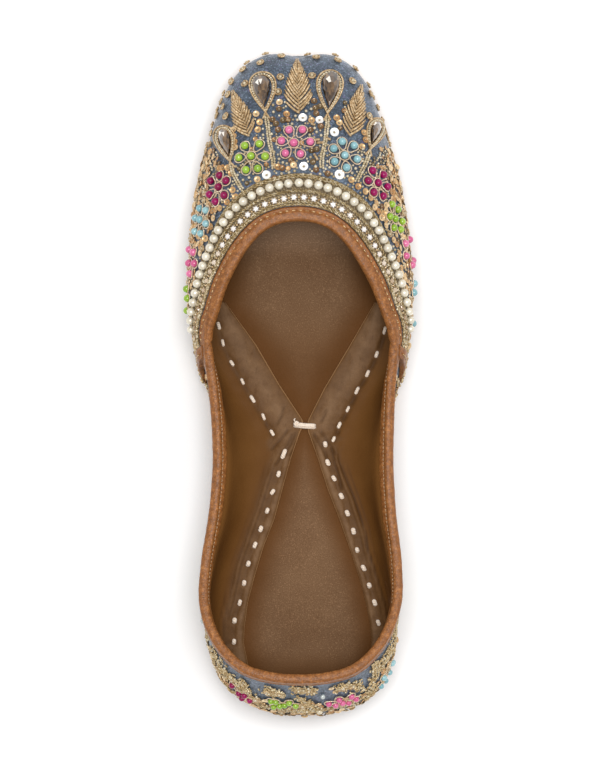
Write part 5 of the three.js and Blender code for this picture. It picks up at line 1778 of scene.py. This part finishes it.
def build_motifs():
    leaf((151.9, 56.6), (153.5, 111.5), 28, 12)
    leaf((87.2, 88.1), (104.0, 134.5), 21, 11)
    leaf((216.6, 82.3), (205.2, 134.5), 22.5, 11)
    teardrop((116.2, 70.2), (120.4, 109.8), 27.5, (-0.7, 0.3))
    teardrop((185.9, 68.4), (182.6, 111.3), 27.5, (0.5, 0.9))
    teardrop((76.0, 124.0), (85.0, 159.4), 22, (0.0, 0.3))
    teardrop((234.6, 116.6), (225.2, 147), 20, (0.1, 0.3))
    stem([(120.8, 112), (122.9, 126.2), (124.5, 139.5), (127.8, 156), (128.7, 167)])
    stem([(182.6, 113), (181.7, 126.2), (180, 139.5), (176.8, 156), (176.8, 167)])
    stem([(86, 161), (88, 171), (94.7, 184), (98, 188)])
    stem([(225, 149), (220.7, 161), (214, 174.3), (211.6, 180)])
    flower("pink", [(143.8, 127.9), (157.3, 127.6), (136.3, 138.7), (148.7, 140.7), (165.1, 139.7), (140.3, 151.1), (155.4, 151.8)], 3)
    flower("lime", [(99.6, 143.6), (114.2, 141.8), (93.7, 155.6), (105.8, 153.9), (120, 154.3), (100.8, 167.8), (112.6, 166.4)], 3)
    flower("sky", [(197.1, 139.5), (209.1, 143.5), (188.7, 146.5), (199.8, 153.1), (212.1, 157.1), (189.5, 159.4), (201.6, 165.5)], 3)
    flower("magenta", [(74.1, 173.3), (65.2, 178.8), (80.6, 178.6), (73.1, 184.8), (64.2, 192.4), (78.7, 193.1), (70, 199.5)], 3, 1.42)
    flower("magenta", [(227.8, 168.5), (238.6, 172.7), (223.3, 178.6), (233.5, 180.8), (242.7, 184.6), (229, 190.2), (238.4, 194)], 3, 1.42)
    flower("lime", [(246.9, 202.2), (252.9, 207.5), (245.2, 214.4), (250.5, 216.8), (257.3, 219.4), (249.2, 225.7), (255.7, 227.4)], 3, 1.36)
    flower("sky", [(54.5, 206.3), (60.7, 208.3), (50.1, 216.1), (54.6, 217.6), (60.7, 221.7), (49.7, 229.5), (55.5, 231.5)], 3, 1.36)
    # down the sides, where the beads turn away from the camera
    side = {"pl": ("pink", [(44.1, 250.9), (48.2, 250.3), (43.6, 261.2), (49.1, 261.4), (44.6, 271.7)]),
            "pr": ("pink", [(264.6, 239), (260.5, 241.5), (268.8, 249), (261.3, 253.9), (267.1, 263)]),
            "gl": ("lime", [(41.6, 287), (42.4, 297.4), (41.6, 306.5)]),
            "br": ("sky", [(269.6, 278.8), (268.8, 290.6), (271.3, 305.7)])}
    for colour, px in side.values():
        flower(colour, px, None, 1.4)
    for colour, u, d, turn in LOW_FLOWERS:
        flower_ud(colour, u, d, 4.9, turn)
    # charted rosettes
    ros = [(115.7, 61.6), (98.5, 68.2), (100.3, 82.5), (135.3, 76), (167, 74.5), (136.1, 54.9), (171.3, 56.1), (192.5, 59.1), (209.6, 67.4), (206.8, 79.8), (83.9, 93.1), (81.4, 114.6), (72.8, 113.8), (224.8, 92.2), (234.8, 113), (223.2, 114.6), (133.1, 90.6)]
    P, X, Y, n = seat(pix(*np.array(ros).T), 0.0)
    rosettes(P, X, Y, n, 1.02)
    # charted spangles
    gold = [(88.9, 127.9), (89.2, 134.5), (90, 140.3), (90.5, 146.1), (112.4, 177.6), (133.1, 165.2), (205.8, 178.1), (212.9, 184.6), (224.7, 196), (240, 209), (240, 218), (248, 238), (134.6, 100.8), (141.4, 112.6), (111.2, 112.5), (115, 120.5), (113, 128), (69, 155), (71, 162), (75.5, 166.5), (83, 166), (68, 209), (69, 216), (60, 180), (57, 172), (191.5, 116.5), (194, 121), (218.5, 131), (220, 138), (216.5, 145), (166.5, 118.6), (86.5, 171.5), (78, 166), (88.2, 188), (90.8, 195), (82.5, 200), (148.5, 163.0), (219.6, 189.5)]
    P, X, Y, n = seat(pix(*np.array(gold, float).T), 0.05)
    spangles(P, X, Y, n, 0.42 + 0.3 * rng.random(len(P)), 1.0, 0.12)
    stitch_bead(P, X, Y, n, 0.3, 0.3)
    take(P, 1.35)
    white = [(157.7, 115.8, 1.25), (174.4, 118.1, 1.15), (189.2, 130.4, 1.3), (158.7, 164.4, 1.25), (121.5, 173, 1.25), (194.2, 172.7, 1.4)]
    P, X, Y, n = seat(pix(*np.array(white)[:, :2].T), 0.15)
    spangles(P, X, Y, n, 1.0, np.array(white)[:, 2], 0.05, FLAT)
    stitch_bead(P, X, Y, n, 0.15, 0.36)
    take(P, 1.9)
    dark = [(131, 122), (133, 128), (170.5, 106.5), (169, 99.5), (175, 104.8), (171, 112), (175.5, 124.5), (134, 107.5), (143, 118), (138, 118.5), (137, 166), (146.5, 158.5), (166.5, 149), (171.5, 147.5), (167.5, 160), (171, 168), (127.5, 118), (129.5, 176.5), (182.5, 172), (181, 180), (165.5, 128.6)]
    P, X, Y, n = seat(pix(*np.array(dark, float).T), 0.05)
    spangles(P, X, Y, n, 0.02 + 0.2 * rng.random(len(P)), 0.95, 0.16)
    stitch_bead(P, X, Y, n, 0.25, 0.34)
    take(P, 1.3)
    # little bugle bars and beads between the flowers
    bars = [((169.5, 138), (174.6, 137.6)), ((171.5, 141), (177.8, 140.4)), ((166, 121.5), (170, 123)), ((141.5, 118), (144.5, 119)), ((180.5, 136), (185.6, 137.6)), ((127, 161.5), (130.5, 166)), ((169, 152), (172.5, 158))]
    for a, b in bars:
        P, X, Y, k = seat(pix(*np.array([a, b]).T)[0] + (pix(*b) - pix(*a)) * np.linspace(0, 1, 6)[:, None], 0.55)
        V, F, uv = tube(P, 0.55, 8, up=k)
        GOLD.add(V, F, 0.9, uv)
        take(P, 0.8)
    seeds = [(163, 101), (161, 109), (165, 114.5), (179.5, 117.5), (171.5, 130), (176, 133.4), (169.5, 126), (184, 124), (165.5, 155.2), (170.5, 164.5), (175, 172), (165.8, 172.5), (134, 157), (137.8, 160.5), (129, 150), (131.5, 142), (141.8, 161.5), (149.5, 169), (184.6, 165.3), (186.6, 172), (202.5, 174.2), (144, 170.5), (136.5, 171.5), (158, 172.5), (118, 133), (126.5, 132), (128.4, 110), (147, 122), (152.3, 118), (150.4, 113.9), (164.5, 133), (178, 146), (179, 152), (182.5, 159.5), (207, 171), (210.5, 166.5), (216.6, 153), (218, 147), (104, 175.5), (98, 178), (91, 164.5), (92.5, 173), (87.5, 152), (128, 103), (166, 107)]
    tones = rng.choice([0.05, 0.2, 0.45, 0.8], len(seeds))
    beads_px(seeds, 0.58, tones)


LOW_FLOWERS = []


def infill(box, count, r, spangle=False):
    """Small beads and spangles between the flowers, where nothing else is sewn."""
    x, y = rng.uniform(box[0], box[2], count), rng.uniform(box[1], box[3], count)
    P, X, Y, n = seat(pix(x, y), 0.1 if spangle else r * 0.9)
    taken = np.array(TAKEN)
    keep = []
    for k in range(count):
        free = (np.linalg.norm(taken[:, :3] - P[k], axis=1) - taken[:, 3]).min() > r * 0.8
        if free and all(np.linalg.norm(P[k] - P[i]) > r * 2.0 for i in keep):
            keep.append(k)
    P, X, Y, n = P[keep], X[keep], Y[keep], n[keep]
    if spangle:
        spangles(P, X, Y, n, rng.choice([0.04, 0.12, 0.3, 0.42, 0.55], len(P)), r / 1.3, 0.25)
        stitch_bead(P, X, Y, n, 0.4, 0.3)
    else:
        SEEDS.copies(BALL_S, P, X, Y, n, r, rng.choice([0.0, 0.2, 0.5, 0.9], len(P)))
    take(P, r)
    print("infill", len(P))


def chips(px, width, count, tone=0.8):
    """Rough gold: short curled bits of bullion strewn along a picture line."""
    line = resample(pix(*np.array(px, float).T), 0.3)
    c = line[rng.integers(0, len(line), count)] + rng.normal(0, 1, (count, 2)) * width * PX * 0.24
    P, X, Y, n = seat(c, 0.3 + 0.5 * rng.random(count))
    a = rng.random(count) * 6.28
    th = np.linspace(-1.1, 1.1, 5)
    for i in range(count):
        r = 0.6 + 0.3 * rng.random()
        q = P[i] + r * (np.cos(th + a[i])[:, None] * X[i] + np.sin(th + a[i])[:, None] * Y[i])
        V, F, uv = tube(q, 0.31, 4, up=n[i])
        BULLION.add(V, F, rng.choice([0.0, 0.35, 0.7, 1.0, 1.0]), uv)
    P, X, Y, n = seat(line[::3] + rng.normal(0, 1, (len(line[::3]), 2)) * width * PX * 0.25, 0.7)
    SEEDS.copies(BALL_S, P, X, Y, n, 0.5, rng.random(len(P)))
    P, X, Y, n = seat(line[::4], 0)
    take(P, width * PX * 0.5)


def chips_ud(path, width, count):
    """The same rough gold along (ring position, mm below the collar)."""
    path = spline(path, 80)
    k = rng.integers(0, 80, count)
    u, d = path[k, 0], path[k, 1]
    P, A, B, n = at(u, d, 0.3 + 0.6 * rng.random(count))
    P = P + A * rng.normal(0, width * 0.28, (count, 1)) + B * rng.normal(0, width * 0.28, (count, 1))
    a = rng.random(count) * 6.28
    th = np.linspace(-1.1, 1.1, 5)
    for i in range(count):
        q = P[i] + 0.75 * (np.cos(th + a[i])[:, None] * A[i] + np.sin(th + a[i])[:, None] * B[i])
        V, F, uv = tube(q, 0.31, 4, up=n[i])
        BULLION.add(V, F, rng.choice([0.0, 0.35, 0.7, 1.0, 1.0]), uv)
    P, A, B, n = at(path[::6, 0], path[::6, 1], 0)
    take(P, width * 0.5)


def build_heel_beads():
    for x, y, s, c, t in ((124.5, 690.0, 0.72, 5, 0.3), (134.5, 691, 0.7, 5, 0.9), (153.5, 687.0, 0.72, 5, 0.1), (163.8, 687.5, 0.72, 5, 0.5), (198, 685.2, 0.72, 5, 0.2), (207.5, 683.2, 0.7, 5, 0.8)):
        lobes_px(x, y, s, c, t)
    r = 1.15
    for colour, px in (("magenta", [(87, 683.5), (93.6, 691.5), (99.3, 693.6), (104.7, 698.4), (96.8, 696.2)]),
                       ("lime", [(125.8, 699.4), (130.6, 700), (134.7, 704.0), (139.6, 703.4), (144.0, 700.9), (150.6, 703.9), (128.6, 704.8)]),
                       ("pink", [(183.8, 702.0), (190.6, 703.4), (194.2, 697.9), (197.6, 701.0), (206.6, 694.6), (211.0, 697.0), (203.6, 700.8)]),
                       ("sky", [(247.4, 661.9), (247.8, 666.9), (245.0, 672.0), (238.9, 675.7), (241.2, 680.0), (236, 684.0)])):
        flower(colour, px, None, r)
    chips([(64, 645), (69, 655), (76, 666), (84, 675), (93, 683), (104, 691), (108, 697)], 8, 250)
    chips([(96, 679), (101, 684)], 5, 30)
    chips([(119, 688.5), (129, 690), (137.5, 692.5)], 8.0, 80)
    chips([(148, 687), (158, 688), (169, 689)], 8.5, 90)
    chips([(154, 697), (160, 701), (168, 704), (173, 708)], 8, 110)
    chips([(192, 686), (203, 684.5), (213, 683), (219, 688)], 8.5, 110)
    chips([(255, 612), (253, 628), (250, 643), (243, 655), (234, 665), (229, 675), (227, 688), (219, 696)], 8.5, 300)
    chips([(232, 660), (228, 668)], 6, 40)
    chips([(118, 704), (145, 708), (178, 708), (212, 701)], 3.5, 90)
    chips([(62.5, 638), (60.5, 625)], 4, 30)
    beads_px([(54.9, 623), (258.5, 594.5), (177.9, 694.6)], 0.95, 0.5, CLEAR)
    beads_px([(174.7, 709.4)], 1.15, 0.9, SEEDS)
    chain = [(186.2, 685.8), (189.6, 688.4)]
    P, X, Y, n = seat(pix(*np.array(chain, float).T), 0.05)
    spangles(P, X, Y, n, 0.55 + 0.3 * rng.random(len(P)), 0.85, 0.14)
    stitch_bead(P, X, Y, n, 0.3, 0.3)
    take(P, 1.3)
    # the back and the quarters: rough gold, scrolls and flowers carried on down to the sole
    for u in (15.4, 16.7, 18.0, 19.3, 20.6):
        lobes_ud(u, 24.0, 0.9, 5, u)
    chips_ud([(14.2, 22), (15.2, 29), (16.6, 27.5), (18, 29.5), (19.4, 27.5), (20.8, 29), (21.8, 22)], 2.4, 260)
    for sgn in (1, -1):
        chips_ud([(sgn * 14.4, 9), (sgn * 13.4, 12), (sgn * 12.6, 17.5), (sgn * 11.6, 16.5), (sgn * 10.9, 21)], 2.2, 170)
        for u, d, s in ((12.9, 23.0, 0.85), (11.7, 11.0, 0.8)):
            lobes_ud(sgn * u, d, s, 5, u)
        for c, u, d in (("lime", 13.6, 28.5), ("magenta", 12.0, 24.5)):
            flower_ud(c, sgn * u, d, 4.2, 0.4, 1.15)


def fill_spangles():
    """Spangles set close down both sides and thinner elsewhere, none over another piece."""
    taken = np.array(TAKEN)
    pts, rad = list(map(tuple, taken[:, :3])), list(taken[:, 3])
    arr = np.zeros((len(pts) + 6000, 3))
    ra = np.zeros(len(pts) + 6000)
    arr[:len(pts)] = np.array(pts)
    ra[:len(rad)] = rad
    m = len(pts)
    N = 17000
    u = rng.uniform(-18, 18, N)
    v = rng.uniform(0.03, 0.97, N)
    p, n, r = frames(u, v)
    b = base_t(u, v)
    P = p + n * (b + 0.05)[:, None]
    L = np.zeros(N)
    vs = np.linspace(1, 0, 60)
    us = np.linspace(-18, 18, 181)
    Q = bez(us[:, None], vs[None, :])
    D = np.concatenate([np.zeros((181, 1)), np.cumsum(np.linalg.norm(np.diff(Q, axis=1), axis=2), axis=1)], 1)
    i = np.clip(((u + 18) / 0.2).round().astype(int), 0, 180)
    j = np.clip(((1 - v) * 59).round().astype(int), 0, 59)
    d = D[i, j]
    total = D[i, -1]
    img = project(P)
    w = np.abs(u)
    ok = np.ones(N, bool)
    limit = np.interp(w, [0, 3, 6, 7.6], [17.2, 15.8, 14.8, 14.0])
    wing = wing_edge(v)
    strip = 5.6 / np.maximum(along_u(u, v), 1)
    onvamp = w < wing - strip
    behind = w > wing + 1.4 / np.maximum(along_u(u, v), 1)
    ok &= (onvamp & (d > limit)) | (behind & (d > 6.2))
    ok &= (total - d) > 2.6
    gap = np.full(N, 0.62)
    steep = n[:, 2] < 0.42
    toe = (img[:, 1] > 88)
    gap = np.where(toe & ~steep, 99, gap)
    gap = np.where(toe & steep, 3.2, gap)
    mid = (img[:, 1] <= 88) & (img[:, 1] > 70) & ~steep
    gap = np.where(mid, 1.25, gap)
    gap = np.where(behind, np.where(w > 14.2, np.where(d < 21, 99, 0.8), 2.4), gap)
    chosen = []
    for k in range(N):
        if not ok[k] or gap[k] > 50:
            continue
        dist = np.linalg.norm(arr[:m] - P[k], axis=1) - ra[:m]
        if dist.min() > gap[k]:
            arr[m] = P[k]
            ra[m] = 1.15
            m += 1
            chosen.append(k)
        if m >= len(arr) - 1:
            break
    c = np.array(chosen)
    X = lift([1, 0], n[c])
    X = bez(u[c] + 0.05, v[c]) - bez(u[c] - 0.05, v[c])
    X /= np.linalg.norm(X, axis=1, keepdims=True)
    Y = np.cross(n[c], X)
    tone = rng.choice([0.08, 0.2, 0.4, 0.55, 0.62, 0.72, 0.84], len(c), p=[0.08, 0.10, 0.14, 0.2, 0.2, 0.18, 0.10])
    ros = (rng.random(len(c)) < 0.06) | (toe & steep)[c]
    spangles(P[c][~ros], X[~ros], Y[~ros], n[c][~ros], tone[~ros], 0.86 + 0.2 * rng.random((~ros).sum()), 0.22)
    stitch_bead(P[c][~ros], X[~ros], Y[~ros], n[c][~ros], rng.random((~ros).sum()) * 0.5, 0.3)
    rosettes(P[c][ros], X[ros], Y[ros], n[c][ros], 0.9)
    print("spangles", len(c))
    # seed beads in the gaps of the close-set sides
    N2 = 5000
    u2 = rng.uniform(-9.6, 9.6, N2)
    v2 = rng.uniform(0.05, 0.9, N2)
    p2, n2, _ = frames(u2, v2)
    P2 = p2 + n2 * (base_t(u2, v2) + 0.35)[:, None]
    i = np.clip(((u2 + 18) / 0.2).round().astype(int), 0, 180)
    j = np.clip(((1 - v2) * 59).round().astype(int), 0, 59)
    d2 = D[i, j]
    w2 = np.abs(u2)
    lim = np.interp(w2, [0, 3, 6, 7.6], [17.0, 15.6, 14.6, 13.8])
    img2 = project(P2)
    ok2 = (d2 > lim) & (w2 < wing_edge(v2) - 5.2 / np.maximum(along_u(u2, v2), 1)) & ((D[i, -1] - d2) > 2.4) & (img2[:, 1] < 86)
    picks = []
    for k in np.nonzero(ok2)[0]:
        dist = np.linalg.norm(arr[:m] - P2[k], axis=1) - ra[:m]
        if dist.min() > 0.28 and m < len(arr) - 1:
            arr[m] = P2[k]
            ra[m] = 0.42
            m += 1
            picks.append(k)
    c = np.array(picks)
    X = lift([1, 0], n2[c])
    SEEDS.copies(BALL_S, P2[c] + n2[c] * 0.1, X, np.cross(n2[c], X), n2[c], 0.44 + 0.1 * rng.random((len(c), 1)) * np.ones(3), rng.choice([0.0, 0.15, 0.4, 0.9], len(c)))
    print("seeds", len(c))


def wing_clusters():
    """Where the rows run out, gold beads and bullion gather down the wing."""
    for s_ in (-1, 1):
        flip = (lambda x: x) if s_ < 0 else (lambda x: 312.5 - x)
        chips([(flip(x), y) for x, y in ((49.6, 338), (49.6, 346), (50.4, 356))], 5.5, 80)
        chips([(flip(x), y) for x, y in ((51.2, 362), (52.3, 368), (53.3, 374))], 3.0, 34)
        px = [(flip(x), y) for x, y in ((47.6, 344), (48.4, 350.5), (49.6, 357), (50.8, 363.5), (52.3, 370), (52.2, 345), (52.6, 353))]
        P, X, Y, n = seat(pix(*np.array(px, float).T), 0.7)
        GOLD.copies(BALL_M, P, X, Y, n, 0.66, 0.9)
        # sparks of brown and gold between the stones down the sides
        for d0, k in ((8.6, 60), (5.3, 50)):
            u = s_ * rng.uniform(4.2, 7.8, k)
            P, A, B, n = at(u, d0 - 0.35 + rng.normal(0, 0.35, k), 0.55)
            SEEDS.copies(BALL_S, P, A, B, n, 0.42, rng.choice([0.0, 0.3, 0.95], k))


build_rows()
build_motifs()
for _box in ((106, 100, 204, 174), (70, 150, 106, 200), (206, 146, 242, 198)):
    infill(_box, 500, 0.95, True)
    infill(_box, 1200, 0.46)
build_heel_beads()
wing_clusters()
fill_spangles()
GOLD.make("gold_bullion", M_GOLD, "gold_wire", angle=60)
BULLION.make("rough_bullion", M_ROUGH, "gold_wire", angle=60)
CORDS.make("gold_cords", M_CORD, "gold_wire", angle=80)
BRAID_AND_SHADE.make("row_braid_and_shade", M_BRAID_AND_SHADE, "gold_wire", angle=60)
PETALS.make("petal_wires", M_PETAL, "gold_wire", angle=80)
SEEDS.make("seed_beads", M_SEED, "glass_bead", angle=80)
PEARLS.make("pearl_row", M_PEARL, "pearl", angle=80)
RHINE.make("rhinestone_row", M_RHINE, "crystal", angle=0)
STONES.make("pear_crystals", M_STONE, "crystal", angle=0, facet=np.concatenate([np.concatenate(FACETS[k]) for k in STONES.F]))
CLEAR.make("clear_beads", M_CLEAR, "glass_bead", angle=80)
for _k, _m in (("pink", M_PINK), ("magenta", M_MAGENTA), ("lime", M_LIME), ("sky", M_SKY)):
    COLOUR[_k].make("flower_beads_" + _k, _m, "glass_bead", angle=80)
for _k, _pile in zip(("left", "right", "heel"), SPANGLES):
    _pile.make("spangles_" + _k, M_SPANGLE, "sequin", angle=50)
SEAM.make("seam_stitches", M_SEAM, "thread", angle=80)
GLINT.make("gold_seam_stitches", M_GLINT, "gold_wire", angle=80)

# ---------------------------------------------------------------- floor, light and camera
def floor_material():
    g = Mat("floor_paper")
    n = g.noise(40, 3)
    g.set(Base_Color=g.mix(n, (0.93, 0.93, 0.93), (0.95, 0.95, 0.95)), Roughness=0.9, Normal=g.bump(g.noise(0.8), 0.01, 0.3))
    return g.m


bpy.ops.mesh.primitive_plane_add(size=6.0, location=(0, 0, -0.0002))
floor = bpy.context.object
floor.name = "studio_floor"
floor.data.materials.append(floor_material())


def area(name, loc, aim, size, power, size_y=None, color=(1, 1, 1)):
    d = bpy.data.lights.new(name, "AREA")
    d.energy = power
    d.size = size
    d.color = color
    if size_y:
        d.shape = "RECTANGLE"
        d.size_y = size_y
    o = bpy.data.objects.new(name, d)
    o.location = loc
    o.rotation_euler = (Vector(aim) - Vector(loc)).to_track_quat("-Z", "Y").to_euler()
    bpy.context.scene.collection.objects.link(o)


area("key_softbox", (0.05, 0.16, 1.8), (0, 0, 0), 0.8, 21.5)
area("side_softbox", (1.2, 0.6, 1.4), (0, 0, 0.02), 0.9, 2.8)
world = bpy.data.worlds.new("studio_air")
world.use_nodes = True
world.node_tree.nodes["Background"].inputs[0].default_value = (1, 1, 1, 1)
world.node_tree.nodes["Background"].inputs[1].default_value = 0.635
bpy.context.scene.world = world
bpy.context.scene.view_settings.view_transform = "Standard"
bpy.context.scene.view_settings.look = "None"

cam = bpy.data.cameras.new("overhead_camera")
cam.lens = 200
cam.sensor_width = 36
cam.clip_start = 0.05
cam.clip_end = 20
camera = bpy.data.objects.new("overhead_camera", cam)
camera.location = (0, 0, CAM_Z / 1000)
camera.rotation_euler = (0, 0, 0)
bpy.context.scene.collection.objects.link(camera)
bpy.context.scene.camera = camera
